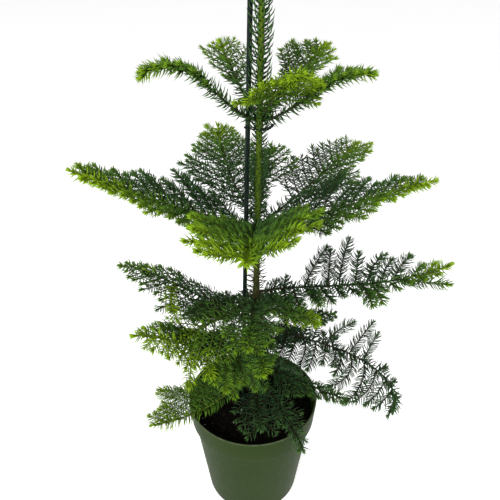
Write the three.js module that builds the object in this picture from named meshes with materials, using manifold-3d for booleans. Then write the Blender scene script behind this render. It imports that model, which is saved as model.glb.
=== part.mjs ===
// A young Norfolk Island pine, Araucaria heterophylla, in a plain nursery pot, tied to a stake.
// Millimetres, +Z up. The origin is the centre of the pot's underside, and -Y is the front.
import * as THREE from 'three';
import { mergeVertices } from 'three/addons/utils/BufferGeometryUtils.js';
import Module from 'manifold-3d';

const wasm = await Module();
wasm.setup();

// Pot, soil, stem, stake and tie
const GAP = 0.3;
const POT = { height: 140, rim: 76, bandFoot: 112, bandRadius: 73.4, wallRadius: 70.4, base: 56 };
const POT_WALL = 1.8;
const POT_FLOOR = 2.6;
const POT_SIDES = 40;
const DRAIN = { count: 6, radius: 4.5, circle: 40 };
const SOIL = { top: 120, rise: 2.2, sides: 32 };
const STEM = { foot: [1.5, 0, 120], head: [7.6, 0, 606], root: 84, footRadius: 3.6, headRadius: 2.5 };
const STEM_SIDES = 8;
const STAKE = { foot: [-14.6, 6.5, 22], head: [-1.4, 3.5, 592], radius: 2.3, sides: 12 };
const TIE = { height: 459, radius: 0.6, sides: 6, steps: 28, tail: [9, -2, 5], tailRadius: 1.5 };

// Needles and shoots: true needle lengths, with cores just thick enough to carry them
const STEM_NEEDLE = { length: 11.5, lean: 50, band: 1.6 };
const LEADER = { above: 480, spacing: 7.5 };
const GREEN_WOOD = { above: 300, spacing: 11 };
const OLD_WOOD = { above: 132, spacing: 17 };
const AXIS_NEEDLE = { length: 11, lean: 52, band: 1.4 };
const SHOOT_NEEDLE = { length: 10.5, lean: 48, band: 1.3 };
const AXIS_CORE = { foot: 1.15, head: 0.6 };
const SHOOT_CORE = { foot: 0.7, head: 0.45 };
const NEEDLE_RADIUS = 0.35;
const CLEARANCE = 0.4;
const SHORTEST_SHOOT = 11;
const LONG_SHOOT = 27;
const SHOOT_SHARE = 0.46;
const AXIS_STEPS = 24;
const SHOOT_STEPS = 6;
const BARE_WHORLS = [0.12, 0.24, 0.36];
const LAST_WHORL = 0.965;

// How a frond grows, where its own entry does not say otherwise. Angles are degrees. The frond leaves
// the stem at a height towards a compass direction, anticlockwise from +X, and its slope goes from
// rise through mid to end. Side shoots stand on it between the fractions bare and reach of its
// length; span is the longest one, at the fraction peak, and foot and tips are what the first and
// last have of it. They leave at splay, which skew changes from side to side, are lifted and rolled,
// bend towards the frond's tip and droop by their own weight. needle scales the needles' length.
// Shoots with an entry of their own are [place, side, length, splay, lift, bend].
const HABIT = {
  sweep: 0, bare: 0.2, reach: 0.93, pairs: 8, span: 40, peak: 0.45, foot: 0.45, tips: 0.25, taper: 1,
  lift: 12, roll: 0, splay: 66, skew: 0, bend: 0.35, droop: 0.1, left: 1, right: 1, needle: 1,
  shoots: [],
};

const WHORLS = [
  { tier: 'crown', height: 466, bare: 0.42, reach: 0.95, peak: 0.6, needle: 0.72, fronds: [
    { name: 'left', compass: 186, length: 116, rise: 14, mid: 94, end: -44, pairs: 6, span: 15, lift: 20,
      needle: 0.92 },
    { name: 'right', compass: 357, length: 105, rise: 11, mid: 67, end: -8, pairs: 6, span: 20, lift: 20,
      needle: 0.92 },
    { name: 'back_left', compass: 119, length: 103, rise: 30, mid: 37, end: 34, sweep: -6, pairs: 6,
      span: 31, peak: 0.7, left: 0.92, right: 1.1 },
    { name: 'back_right', compass: 51, length: 115, rise: 30, mid: 29, end: 26, span: 38, left: 1.2,
      right: 0.8 },
    { name: 'front', compass: 310, length: 70, rise: 57, mid: 52, end: 21, bare: 0.34, reach: 0.97,
      pairs: 7, span: 46, peak: 0.4, foot: 0.95, tips: 0.3, taper: 0.8, lift: 0, roll: -7, splay: 92,
      droop: 0.55, left: 1.05 },
  ] },
  { tier: 'upper', height: 364, span: 56, tips: 0.16, taper: 0.75, needle: 0.9, fronds: [
    { name: 'left', compass: 189, length: 178, rise: 13, mid: 26, end: 26, bare: 0.08, pairs: 15,
      peak: 0.32, foot: 0.6, tips: 0.25, roll: -12, left: 0.66 },
    { name: 'right', compass: 356, length: 170, rise: 4, mid: 35, end: 12, sweep: 2, bare: 0.12,
      pairs: 14, peak: 0.32, roll: 10, right: 0.85 },
    { name: 'back_left', compass: 117, length: 168, rise: 21, mid: 16, end: 23, sweep: -20, bare: 0.16,
      pairs: 13, peak: 0.42, foot: 0.6, tips: 0.25, taper: 1, droop: 0, needle: 1 },
    { name: 'back_right', compass: 48, length: 181, rise: 7, mid: 20, end: 14, bare: 0.3, pairs: 12,
      span: 54, peak: 0.42, foot: 0.8, tips: 0.5, taper: 1, roll: 8, droop: 0, left: 0.85, right: 0.9,
      needle: 1 },
    { name: 'front', compass: 266, length: 143, rise: 21, mid: 17, end: 8, reach: 0.96, pairs: 13,
      span: 62, peak: 0.66, foot: 0.2, tips: 0.52, taper: 2, lift: 25, roll: 5, splay: 82, droop: 0,
      right: 0.9 },
  ] },
  { tier: 'middle', height: 278, fronds: [
    { name: 'left', compass: 178, length: 151, rise: -30, mid: 69, end: 1, sweep: -4, bare: 0.14,
      pairs: 13, span: 46, foot: 0.5, tips: 0.2, taper: 0.9, lift: 6, roll: -4, skew: 10, droop: 0.2,
      left: 1.1, right: 0.7, shoots: [[0.6, 1, 64, 79, 6, -0.79], [0.73, -1, 15, 3, 29, 0]] },
    { name: 'right', height: 286, compass: 356, length: 198, rise: 14, mid: -9, end: 31, bare: 0.22,
      pairs: 10, span: 52, peak: 0.34, foot: 0.85, tips: 0.1, lift: 18, roll: 20, splay: 86, droop: 0,
      left: 0, right: 0.5, needle: 1.08, shoots: [[0.1, 1, 9, 84, 30, 0.2], [0.15, 1, 13, 84, 30, 0.2],
      [0.08, -1, 20, 84, -10, 0.2], [0.15, -1, 24, 84, -10, 0.2], [0.2, -1, 30, 84, -10, 0.2],
      [0.26, 1, 52, 70, 32, 0.4], [0.38, 1, 41, 82, 32, 0], [0.44, 1, 50, 84, 46, 0.36],
      [0.52, 1, 38, 78, 27, 0], [0.6, 1, 54, 96, 5, 1.2], [0.66, 1, 28, 80, 32, 0.78],
      [0.72, 1, 32, 70, 30, 1], [0.81, 1, 17, 46, 24, 0.3], [0.88, 1, 14, 40, 16, 0.2],
      [0.3, -1, 34, 84, 0, 0.16], [0.55, -1, 36, 73, -4, -0.2], [0.61, -1, 33, 84, -3, 0.1],
      [0.74, -1, 48, 26, -6, 0.2]] },
    { name: 'front_right', compass: 322, length: 76, rise: 12, mid: 4, end: -10, pairs: 7, span: 30,
      lift: 8, left: 0.6 },
    { name: 'front_left', compass: 218, length: 98, rise: -8, mid: 0, end: -8, pairs: 7, span: 60,
      tips: 0.4, lift: 4, roll: -8 },
  ] },
  { tier: 'lower', height: 249, fronds: [
    { name: 'front_left', compass: 236, length: 157, rise: -43, mid: 79, end: 14, sweep: -40, bare: 0.12,
      pairs: 14, span: 44, peak: 0.3, foot: 0.66, tips: 0.2, taper: 0.8, lift: 8, roll: -20, skew: 8,
      droop: 0.4, left: 1.2, right: 1.2, shoots: [[0.43, 1, 41, 111, -36, -0.35],
      [0.54, 1, 39, 86, -11, 0.29], [0.63, 1, 42, 93, -32, 0.44], [0.77, 1, 17, 69, -23, 0]] },
    { name: 'right', compass: 345, length: 205, rise: -23, mid: 25, end: -99, sweep: 2, bare: 0.14,
      reach: 0.46, pairs: 6, span: 46, peak: 0.24, foot: 0.8, tips: 0.5, lift: 0, roll: 20, splay: 86,
      bend: -0.4, droop: 0.3, left: 0.5, right: 0.85, shoots: [[0.39, 1, 39, 82, 72, 0.97],
      [0.52, 1, 41, 77, 52, 0.07], [0.6, 1, 32, 90, 49, 0.07], [0.7, 1, 14, 60, 20, 0.3],
      [0.8, 1, 12, 60, 20, 0.3], [0.9, 1, 10, 50, 20, 0.3], [0.47, -1, 32, 69, -14, -0.72],
      [0.53, -1, 50, 59, -26, -1.6], [0.61, -1, 54, 69, -22, -0.94], [0.69, -1, 42, 57, -60, -0.9],
      [0.77, -1, 35, 72, -48, -0.5], [0.85, -1, 28, 70, -50, -0.4], [0.93, -1, 16, 60, -30, 0]] },
    { name: 'back_right', height: 257, compass: 20, length: 100, rise: 3, mid: -46, end: 4, span: 26,
      lift: 8, roll: 5, left: 0.35 },
    { name: 'front', compass: 276, length: 74, rise: -4, mid: -6, end: -14, pairs: 6, span: 22,
      droop: 0.3 },
    { name: 'back_left', compass: 140, length: 100, rise: -10, mid: -14, end: -22, pairs: 9 },
    { name: 'back', height: 243, compass: 84, length: 95, rise: -8, mid: -10, end: -25 },
  ] },
  { tier: 'skirt', height: 198, fronds: [
    { name: 'left', height: 190, compass: 213, length: 139, rise: -56, mid: -7, end: 14, sweep: -8,
      bare: 0.16, pairs: 12, span: 52, tips: 0.22, lift: 5, roll: -24, left: 0, right: 1.15,
      shoots: [[0.1, 1, 42, 108, 14]] },
    { name: 'right', compass: 349, length: 118, rise: -42, mid: -10, end: -20, span: 26, peak: 0.25,
      lift: 0, droop: 0.2, left: 0.7 },
    { name: 'back_left', compass: 135, length: 110, rise: -18, mid: -12, end: -25, pairs: 9 },
    { name: 'back_right', compass: 62, length: 118, rise: -18, mid: -12, end: -25, pairs: 9 },
  ] },
  { tier: 'base', height: 165, fronds: [
    { name: 'front', height: 162, compass: 276, length: 66, rise: 6, mid: -9, end: -18, bare: 0.3,
      pairs: 5, span: 38, tips: 0.45 },
    { name: 'front_right', height: 168, compass: 305, length: 102, rise: 3, mid: -11, end: -57,
      bare: 0.4, pairs: 5, span: 20, peak: 0.5, droop: 0.2 },
  ] },
  // One more upper frond behind the stem, and one more middle frond in front of the stem's foot.
  { tier: 'upper', height: 364, span: 56, tips: 0.16, taper: 0.75, needle: 0.9, fronds: [
    { name: 'back', height: 371, compass: 82, length: 122, rise: 14, mid: 20, end: 20, bare: 0.38,
      reach: 0.92, pairs: 6, span: 40, peak: 0.5, foot: 0.8, tips: 0.3, taper: 1, lift: 10, droop: 0,
      left: 0.7, needle: 1 },
  ] },
  { tier: 'middle', height: 278, fronds: [
    { name: 'front', compass: 264, length: 76, rise: 6, mid: -4, end: -16, bare: 0.24, pairs: 6,
      span: 34, tips: 0.4, lift: 10, roll: 4 },
  ] },
];

const COLOURS = {
  pot: [0x6f7f5a, 0.6], soil: [0x1d1712, 1], stem: [0x5f6b2c, 0.8], stake: [0x16271f, 0.5],
  tie: [0x10130f, 0.5], crown: [0x4f8a1e, 0.6], upper: [0x3f7a26, 0.6], middle: [0x2c5b30, 0.7],
  lower: [0x34662c, 0.7], skirt: [0x2c5728, 0.7], base: [0x28502b, 0.7],
};

// Small vector helpers
const vec = (x, y, z) => new THREE.Vector3(x, y, z);
const radians = THREE.MathUtils.degToRad;
const UP = vec(0, 0, 1);

// A repeatable number from 0 to 1 for two given numbers, in place of a random draw
function chance(a, b) {
  const v = Math.sin(a * 12.9898 + b * 78.233) * 43758.5453;
  return v - Math.floor(v);
}

function stemPoint(height) {
  const foot = vec(...STEM.foot);
  return foot.lerp(vec(...STEM.head), (height - STEM.foot[2]) / (STEM.head[2] - STEM.foot[2]));
}

function stemRadius(height) {
  const share = Math.max(0, (height - STEM.foot[2]) / (STEM.head[2] - STEM.foot[2]));
  return THREE.MathUtils.lerp(STEM.footRadius, STEM.headRadius, share);
}

function stakePoint(height) {
  const share = (height - STAKE.foot[2]) / (STAKE.head[2] - STAKE.foot[2]);
  return vec(...STAKE.foot).lerp(vec(...STAKE.head), share);
}

function potRadius(height) {
  if (height > POT.bandFoot) {
    const share = (height - POT.bandFoot) / (POT.height - POT.bandFoot);
    return THREE.MathUtils.lerp(POT.bandRadius, POT.rim, share);
  }
  return THREE.MathUtils.lerp(POT.base, POT.wallRadius, height / POT.bandFoot);
}

// A closed skin that is grown ring by ring. Each ring is a list of point numbers that runs
// anticlockwise about the direction of growth, so that every face points outwards.
class Skin {
  constructor() {
    this.points = [];
    this.faces = [];
  }

  point(p) {
    this.points.push(p.clone());
    return this.points.length - 1;
  }

  ring(centre, u, v, radius, sides, phase) {
    const corners = [];
    for (let k = 0; k < sides; k += 1) {
      const angle = phase + (k / sides) * 2 * Math.PI;
      const corner = centre.clone();
      corner.addScaledVector(u, radius * Math.cos(angle));
      corner.addScaledVector(v, radius * Math.sin(angle));
      corners.push(this.point(corner));
    }
    return corners;
  }

  cap(ring) {
    for (let k = 1; k < ring.length - 1; k += 1) {
      this.faces.push(ring[0], ring[k + 1], ring[k]);
    }
  }

  spike(ring, tip) {
    const apex = this.point(tip);
    ring.forEach((corner, k) => this.faces.push(corner, ring[(k + 1) % ring.length], apex));
  }

  flat(quad) {
    this.faces.push(quad[0], quad[1], quad[2], quad[0], quad[2], quad[3]);
  }

  // Joins two rings that may have different numbers of corners, in step with each other, from the
  // turn of the second ring that lies closest to the first
  join(from, to) {
    const partner = (k, turn) => to[(Math.round((k / from.length) * to.length) + turn) % to.length];
    const stretch = (turn) => from.reduce((sum, corner, k) => (
      sum + this.points[corner].distanceTo(this.points[partner(k, turn)])), 0);
    const turns = to.map((_, turn) => stretch(turn));
    const best = turns.indexOf(Math.min(...turns));
    let i = 0;
    let j = 0;
    while (i < from.length || j < to.length) {
      const a = from[i % from.length];
      const b = to[(j + best) % to.length];
      if ((i + 1) / from.length <= (j + 1) / to.length) {
        i += 1;
        this.faces.push(a, from[i % from.length], b);
      } else {
        j += 1;
        this.faces.push(a, to[(j + best) % to.length], b);
      }
    }
  }

  geometry() {
    const shape = new THREE.BufferGeometry();
    const flatPoints = this.points.flatMap((p) => [p.x, p.y, p.z]);
    shape.setAttribute('position', new THREE.Float32BufferAttribute(flatPoints, 3));
    shape.setIndex(this.faces);
    return shape;
  }
}

// Solids for cutting and joining
function solidOf(geometry) {
  const bare = geometry.clone();
  bare.deleteAttribute('normal');
  bare.deleteAttribute('uv');
  const merged = mergeVertices(bare, 1e-4);
  const vertProperties = new Float32Array(merged.attributes.position.array);
  const triVerts = new Uint32Array(merged.index.array);
  return new wasm.Manifold(new wasm.Mesh({ numProp: 3, vertProperties, triVerts }));
}

function geometryOf(solid) {
  const mesh = solid.getMesh();
  const shape = new THREE.BufferGeometry();
  shape.setAttribute('position', new THREE.Float32BufferAttribute(mesh.vertProperties, 3));
  shape.setIndex(Array.from(mesh.triVerts));
  return shape;
}

// A lathe about Z from (radius, height) pairs that start and end on the axis, from the bottom up
function turned(outline, sides) {
  const profile = outline.map(([radius, height]) => new THREE.Vector2(radius, height));
  const shape = new THREE.LatheGeometry(profile, sides);
  shape.rotateX(Math.PI / 2);
  return shape;
}

// An upright rod of a given radius between two points, for the stake and for plain holes
function rod(foot, head, radius, sides, chamfer = 0) {
  const length = foot.distanceTo(head);
  const outline = [[0, 0], [radius - chamfer, 0], [radius, chamfer], [radius, length - chamfer]];
  outline.push([radius - chamfer, length], [0, length]);
  const corners = chamfer > 0 ? outline : [[0, 0], [radius, 0], [radius, length], [0, length]];
  const shape = turned(corners, sides);
  const direction = head.clone().sub(foot).normalize();
  shape.applyQuaternion(new THREE.Quaternion().setFromUnitVectors(UP, direction));
  shape.translate(foot.x, foot.y, foot.z);
  return shape;
}

// The pot: a tapered wall under a wider rim band, with drain holes round a plain middle
function potShape() {
  const inner = POT.wallRadius - POT_WALL;
  const outline = [
    [0, 0], [POT.base - 1.2, 0], [POT.base, 1.2], [POT.wallRadius, POT.bandFoot - 1],
    [POT.bandRadius, POT.bandFoot], [POT.rim - 0.5, POT.height - 3], [POT.rim, POT.height - 1],
    [POT.rim - 1, POT.height], [POT.rim - POT_WALL, POT.height - 0.6],
    [inner + 3.2, POT.bandFoot + 1.5], [inner, POT.bandFoot - 1.5], [POT.base - POT_WALL, POT_FLOOR],
    [0, POT_FLOOR],
  ];
  let solid = solidOf(turned(outline, POT_SIDES));
  for (let k = 0; k < DRAIN.count; k += 1) {
    const angle = ((k + 0.5) / DRAIN.count) * 2 * Math.PI;
    const centre = vec(DRAIN.circle * Math.cos(angle), DRAIN.circle * Math.sin(angle), -1);
    const hole = rod(centre, centre.clone().setZ(POT_FLOOR + 1), DRAIN.radius, 10);
    solid = solid.subtract(solidOf(hole));
  }
  return geometryOf(solid);
}

// Height of the potting mix: a low mound round the stem with slow waves on it
function soilHeight(x, y) {
  const mound = SOIL.rise * Math.exp(-(x * x + y * y) / 900);
  return SOIL.top + mound + 0.8 * Math.sin(x / 9 + 1) * Math.cos(y / 11);
}

function soilShape() {
  const outline = [[0, POT_FLOOR + GAP], [POT.base - POT_WALL - GAP - 0.2, POT_FLOOR + GAP]];
  outline.push([POT.wallRadius - POT_WALL - GAP - 0.4, POT.bandFoot - 2]);
  outline.push([POT.wallRadius - POT_WALL + 0.2, SOIL.top - 4]);
  for (const radius of [67, 54, 40, 26, 12, 0]) {
    outline.push([radius, SOIL.top]);
  }
  const shape = turned(outline, SOIL.sides);
  const place = shape.attributes.position;
  for (let k = 0; k < place.count; k += 1) {
    if (place.getZ(k) > SOIL.top - 1) {
      place.setZ(k, soilHeight(place.getX(k), place.getY(k)));
    }
  }
  const stemHole = rod(stemPoint(STEM.root - GAP), stemPoint(150), STEM.footRadius + GAP, 12);
  const stakeHole = rod(stakePoint(STAKE.foot[2] - GAP), stakePoint(150), STAKE.radius + GAP, 12);
  return geometryOf(solidOf(shape).subtract(solidOf(stemHole)).subtract(solidOf(stakeHole)));
}

// The twist tie: a loop round stem and stake, with one twisted tail. Its centre line keeps a
// fixed distance from both, so it is the outline of the two circles with a band round them.
function tieShape() {
  const skin = new Skin();
  const stem = stemPoint(TIE.height);
  const stake = stakePoint(TIE.height);
  const reach = GAP + TIE.radius;
  const rings = [];
  for (let k = 0; k < TIE.steps; k += 1) {
    const angle = (k / TIE.steps) * 2 * Math.PI;
    const out = vec(Math.cos(angle), Math.sin(angle), 0);
    const onStem = stem.clone().addScaledVector(out, stemRadius(TIE.height) + reach);
    const onStake = stake.clone().addScaledVector(out, STAKE.radius + reach);
    const centre = onStem.dot(out) > onStake.dot(out) ? onStem : onStake;
    rings.push(skin.ring(centre, out, vec(0, 0, -1), TIE.radius, TIE.sides, 0));
  }
  rings.forEach((ring, k) => {
    const next = rings[(k + 1) % rings.length];
    ring.forEach((corner, side) => {
      const beside = (side + 1) % TIE.sides;
      skin.flat([corner, ring[beside], next[beside], next[side]]);
    });
  });
  const loop = solidOf(skin.geometry());
  const from = stem.clone().add(vec(stemRadius(TIE.height) + reach + 0.1, -1, 0));
  const tail = rod(from, from.clone().add(vec(...TIE.tail)), TIE.tailRadius, TIE.sides);
  return geometryOf(loop.add(solidOf(tail)));
}

// What already takes up room: every core and needle as a straight rod, so that nothing grows
// through anything else
const TAKEN = [];

function take(a, b, radius, owner) {
  TAKEN.push({ a: a.clone(), b: b.clone(), radius, owner });
}

// Least distance between two straight stretches
function rodGap(a, b, c, d) {
  const first = b.clone().sub(a);
  const second = d.clone().sub(c);
  const between = a.clone().sub(c);
  const ff = first.dot(first);
  const ss = second.dot(second);
  const fs = first.dot(second);
  const fb = first.dot(between);
  const sb = second.dot(between);
  const spread = ff * ss - fs * fs;
  const clamp = (value) => Math.min(1, Math.max(0, value));
  let s = spread > 1e-9 ? clamp((fs * sb - fb * ss) / spread) : 0;
  const t = clamp((fs * s + sb) / ss);
  s = clamp((fs * t - fb) / ff);
  return a.clone().addScaledVector(first, s).distanceTo(c.clone().addScaledVector(second, t));
}

// Whether a rod stays off the pot's wall and the soil
function clearOfPot(a, b, radius) {
  for (let k = 0; k <= 4; k += 1) {
    const p = a.clone().lerp(b, k / 4);
    const away = Math.hypot(p.x, p.y);
    const margin = radius + CLEARANCE;
    const above = p.z > POT.height + margin;
    const inside = away < potRadius(p.z) - POT_WALL - 3 - margin && p.z > SOIL.top + 3 + margin;
    const outside = away > potRadius(p.z) + margin;
    if (!above && !inside && !outside) {
      return false;
    }
  }
  return true;
}

function isClear(a, b, radius, ignore) {
  return clearOfPot(a, b, radius) && TAKEN.every((other) => (
    ignore(other.owner) || rodGap(a, b, other.a, other.b) > radius + other.radius + CLEARANCE));
}

// Turns one quad of a skin into a needle that leans along the growth, or leaves it flat where
// another needle or shoot is in the way
function needle(skin, quad, growth, kind, owner) {
  const corners = quad.map((k) => skin.points[k]);
  const centre = corners.reduce((sum, p) => sum.add(p), vec(0, 0, 0)).divideScalar(4);
  const across = corners[1].clone().sub(corners[0]);
  const outward = across.cross(growth).normalize();
  const lean = radians(kind.lean);
  const tip = centre.clone().addScaledVector(outward, kind.length * Math.sin(lean));
  tip.addScaledVector(growth, kind.length * Math.cos(lean));
  const free = centre.clone().lerp(tip, 0.3);
  const node = owner.split(' ')[0];
  const clearOfOthers = isClear(centre, free, NEEDLE_RADIUS, (other) => other.startsWith(node));
  if (clearOfOthers && isClear(free, tip, NEEDLE_RADIUS, (other) => other === owner)) {
    take(free, tip, NEEDLE_RADIUS, owner);
    skin.spike(quad, tip);
  } else {
    skin.flat(quad);
  }
}

// The same kind of needle at another length
function sized(kind, scale) {
  return { ...kind, length: kind.length * scale };
}

// A short band between two like rings, with a needle on each of the sides that are asked for
function needleBand(skin, from, to, growth, kind, owner, sides) {
  from.forEach((corner, side) => {
    const beside = (side + 1) % from.length;
    const quad = [corner, from[beside], to[beside], to[side]];
    if (sides(side)) {
      needle(skin, quad, growth, kind, owner);
    } else {
      skin.flat(quad);
    }
  });
}

// The stem: needles stand on every second side and change sides from whorl to whorl. They are
// close together on the green leader and sparse on the old wood.
function stemShape() {
  const skin = new Skin();
  const growth = vec(...STEM.head).sub(vec(...STEM.foot)).normalize();
  const u = vec(1, 0, 0).projectOnPlane(growth).normalize();
  const v = growth.clone().cross(u);
  const ringAt = (z) => skin.ring(stemPoint(z), u, v, stemRadius(z), STEM_SIDES, Math.PI / 8);
  let last = skin.ring(stemPoint(STEM.root), u, v, STEM.footRadius * 0.8, STEM_SIDES, Math.PI / 8);
  skin.cap(last);
  let height = OLD_WOOD.above;
  let turn = 0;
  while (height < STEM.head[2] - 5) {
    const low = ringAt(height);
    const high = ringAt(height + STEM_NEEDLE.band);
    skin.join(last, low);
    const odd = turn % 2;
    needleBand(skin, low, high, growth, STEM_NEEDLE, 'stem', (side) => side % 2 === odd);
    last = high;
    turn += 1;
    height += [LEADER, GREEN_WOOD, OLD_WOOD].find(({ above }) => height >= above).spacing;
  }
  skin.spike(last, vec(...STEM.head).addScaledVector(growth, STEM_NEEDLE.length));
  return skin.geometry();
}

// A frond's middle line: its points and directions at equal steps
function axisOf(frond) {
  const step = frond.length / AXIS_STEPS;
  const points = [stemPoint(frond.height)];
  const ways = [];
  for (let k = 0; k < AXIS_STEPS; k += 1) {
    const t = (k + 0.5) / AXIS_STEPS;
    const bend = frond.rise * (1 - t) ** 2 + 2 * frond.mid * t * (1 - t) + frond.end * t * t;
    const slope = radians(bend);
    const compass = radians(frond.compass + frond.sweep * t);
    const flat = Math.cos(slope);
    const way = vec(flat * Math.cos(compass), flat * Math.sin(compass), Math.sin(slope));
    ways.push(way);
    points.push(points[k].clone().addScaledVector(way, step));
  }
  return { points, ways };
}

// Place, direction, left side and upper side of a frond at a fraction of its length
function frameAt(frond, t) {
  const at = Math.min(t * AXIS_STEPS, AXIS_STEPS - 0.001);
  const k = Math.floor(at);
  const point = frond.axis.points[k].clone().lerp(frond.axis.points[k + 1], at - k);
  const way = frond.axis.ways[k].clone();
  const compass = radians(frond.compass + frond.sweep * t);
  const left = vec(-Math.sin(compass), Math.cos(compass), 0);
  const above = way.clone().cross(left).normalize();
  return { point, way, left, above };
}

// Share of the longest side shoot that stands at a fraction of the frond
function shootShare(frond, t) {
  if (t < frond.peak) {
    const u = (t - frond.bare) / (frond.peak - frond.bare);
    return frond.foot + (1 - frond.foot) * u * (2 - u);
  }
  const u = (t - frond.peak) / (frond.reach - frond.peak);
  return 1 - (1 - frond.tips) * u ** frond.taper;
}

// The middle line of a side shoot, which bends towards the frond's tip and down
function shootPath(frond, shoot, lift) {
  const { point, way, left, above } = frameAt(frond, shoot.t);
  const splay = radians(shoot.splay);
  const sideways = left.clone().multiplyScalar(shoot.side * Math.cos(lift));
  sideways.addScaledVector(above, Math.sin(lift));
  const start = way.clone().multiplyScalar(Math.cos(splay)).addScaledVector(sideways, Math.sin(splay));
  const path = [point];
  for (let k = 0; k < SHOOT_STEPS; k += 1) {
    const s = (k + 0.5) / SHOOT_STEPS;
    const step = start.clone().addScaledVector(way, shoot.bend * s).addScaledVector(UP, -shoot.droop * s);
    path.push(path[k].clone().addScaledVector(step.normalize(), shoot.length / SHOOT_STEPS));
  }
  return path;
}

// The side shoots of a frond, with their lengths and angles varied a little
function shootsOf(frond, seed) {
  const pairs = Math.max(3, Math.round(frond.pairs * SHOOT_SHARE));
  const shoots = frond.shoots.map(([t, side, length, splay, lift, bend = frond.bend]) => (
    { t, side, length, splay, lift: radians(lift), bend, droop: 0 }));
  for (let k = 0; k < pairs; k += 1) {
    for (const side of [1, -1]) {
      const stagger = side > 0 ? 0.3 : 0.7;
      const t = frond.bare + ((frond.reach - frond.bare) * (k + stagger)) / pairs;
      const vary = 0.82 + 0.36 * chance(seed + 0.37 * k, side);
      const share = shootShare(frond, t) * (side > 0 ? frond.left : frond.right);
      const lift = frond.lift + side * frond.roll + 12 * (chance(seed + 1.7 * k, side + 3) - 0.5);
      const stray = 6 * (chance(seed + 2.3 * k, side + 7) - 0.5);
      const splay = frond.splay + side * frond.skew - 22 * t + stray;
      const length = frond.span * share * vary;
      if (length < SHORTEST_SHOOT / 4) continue;
      const { bend, droop } = frond;
      shoots.push({
        t, side, length: Math.max(SHORTEST_SHOOT, length), splay, lift: radians(lift), bend, droop,
      });
    }
  }
  return shoots.sort((a, b) => a.t - b.t);
}

// Finds a way for a side shoot through what has grown already: it is bent up or down, then cut
// shorter, and left out where there is no room at all
function placeShoot(frond, shoot, owner) {
  for (const share of [1, 0.75, 0.5]) {
    for (const bend of [0, 12, -12, 24, -24, 36]) {
      const tried = { ...shoot, length: Math.max(SHORTEST_SHOOT, shoot.length * share) };
      const path = shootPath(frond, tried, shoot.lift + radians(bend));
      const legs = path.slice(1).map((end, k) => [path[k], end]);
      const radius = SHOOT_CORE.foot;
      const own = (k) => (other) => other === owner || (k < 2 && other === frond.node);
      const free = legs.every(([a, b], k) => {
        const from = k === 0 ? a.clone().lerp(b, 0.5) : a;
        return isClear(from, b, radius, own(k));
      });
      if (free) {
        legs.forEach(([a, b]) => take(a, b, radius, owner));
        return { ...tried, path };
      }
    }
  }
  return null;
}

// Point and direction at a fraction of a side shoot's path
function alongPath(path, share) {
  const at = Math.min(share * SHOOT_STEPS, SHOOT_STEPS - 0.001);
  const k = Math.floor(at);
  return {
    point: path[k].clone().lerp(path[k + 1], at - k),
    way: path[k + 1].clone().sub(path[k]).normalize(),
  };
}

// Grows one side shoot out of a quad on the frond's core: a slim three-sided core with one or
// two whorls of needles, and a last needle at its tip
function growShoot(skin, quad, shoot, frond, owner) {
  const whorls = shoot.length > LONG_SHOOT ? [0.45, 0.86] : [0.72];
  let last = quad;
  whorls.forEach((share, k) => {
    const { point, way } = alongPath(shoot.path, share);
    const u = way.clone().cross(frameAt(frond, shoot.t).way).normalize();
    const v = way.clone().cross(u);
    const radius = THREE.MathUtils.lerp(SHOOT_CORE.foot, SHOOT_CORE.head, share);
    const phase = k * (Math.PI / 3) + Math.PI / 2;
    const far = point.clone().addScaledVector(way, SHOOT_NEEDLE.band);
    const low = skin.ring(point, u, v, radius, 3, phase);
    const high = skin.ring(far, u, v, radius * 0.9, 3, phase);
    skin.join(last, low);
    needleBand(skin, low, high, way, sized(SHOOT_NEEDLE, frond.needle), owner, () => true);
    last = high;
  });
  const end = alongPath(shoot.path, 1);
  skin.spike(last, end.point.addScaledVector(end.way, SHOOT_NEEDLE.length * frond.needle * 0.6));
}

// A frond: a four-sided core from the stem to the tip. Side shoots grow out of its left and right
// faces and needles out of its top and underside, and out of all four near the stem and the tip.
function frondShape(frond) {
  const skin = new Skin();
  const width = (t) => THREE.MathUtils.lerp(AXIS_CORE.foot, AXIS_CORE.head, t);
  const ringAt = (t, upright = false) => {
    const { point, left, above } = frameAt(frond, t);
    const right = left.clone().negate();
    return skin.ring(point, upright ? UP : above, right, width(t) * Math.SQRT2, 4, -Math.PI / 4);
  };
  const { start } = frond;
  let last = ringAt(start, true);
  skin.cap(last);
  const stops = frond.grown.map((shoot) => ({ t: shoot.t, shoot }));
  const bare = BARE_WHORLS.filter((t) => t > start + 0.04 && t < frond.grown[0].t - 0.05);
  [...bare, LAST_WHORL].forEach((t) => stops.push({ t }));
  stops.sort((a, b) => a.t - b.t);
  const band = AXIS_NEEDLE.band / frond.length;
  const kind = sized(AXIS_NEEDLE, (1 + frond.needle) / 2);
  let reached = start;
  for (const { t, shoot } of stops) {
    const from = Math.max(t - band / 2, reached + 0.2 * band);
    const low = ringAt(from);
    const high = ringAt(from + band);
    const { way } = frameAt(frond, t);
    skin.join(last, low);
    if (shoot) {
      const open = shoot.side > 0 ? 3 : 1;
      low.forEach((corner, side) => {
        const beside = (side + 1) % 4;
        const quad = [corner, low[beside], high[beside], high[side]];
        if (side === open) {
          growShoot(skin, quad, shoot, frond, `${frond.node} ${t.toFixed(3)} ${shoot.side}`);
        } else if (side % 2 === 0) {
          needle(skin, quad, way, kind, frond.node);
        } else {
          skin.flat(quad);
        }
      });
    } else {
      needleBand(skin, low, high, way, kind, frond.node, () => true);
    }
    last = high;
    reached = from + band;
  }
  const tip = frameAt(frond, 0.999);
  skin.spike(last, tip.point.addScaledVector(tip.way, kind.length * 0.6));
  return skin.geometry();
}

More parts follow.
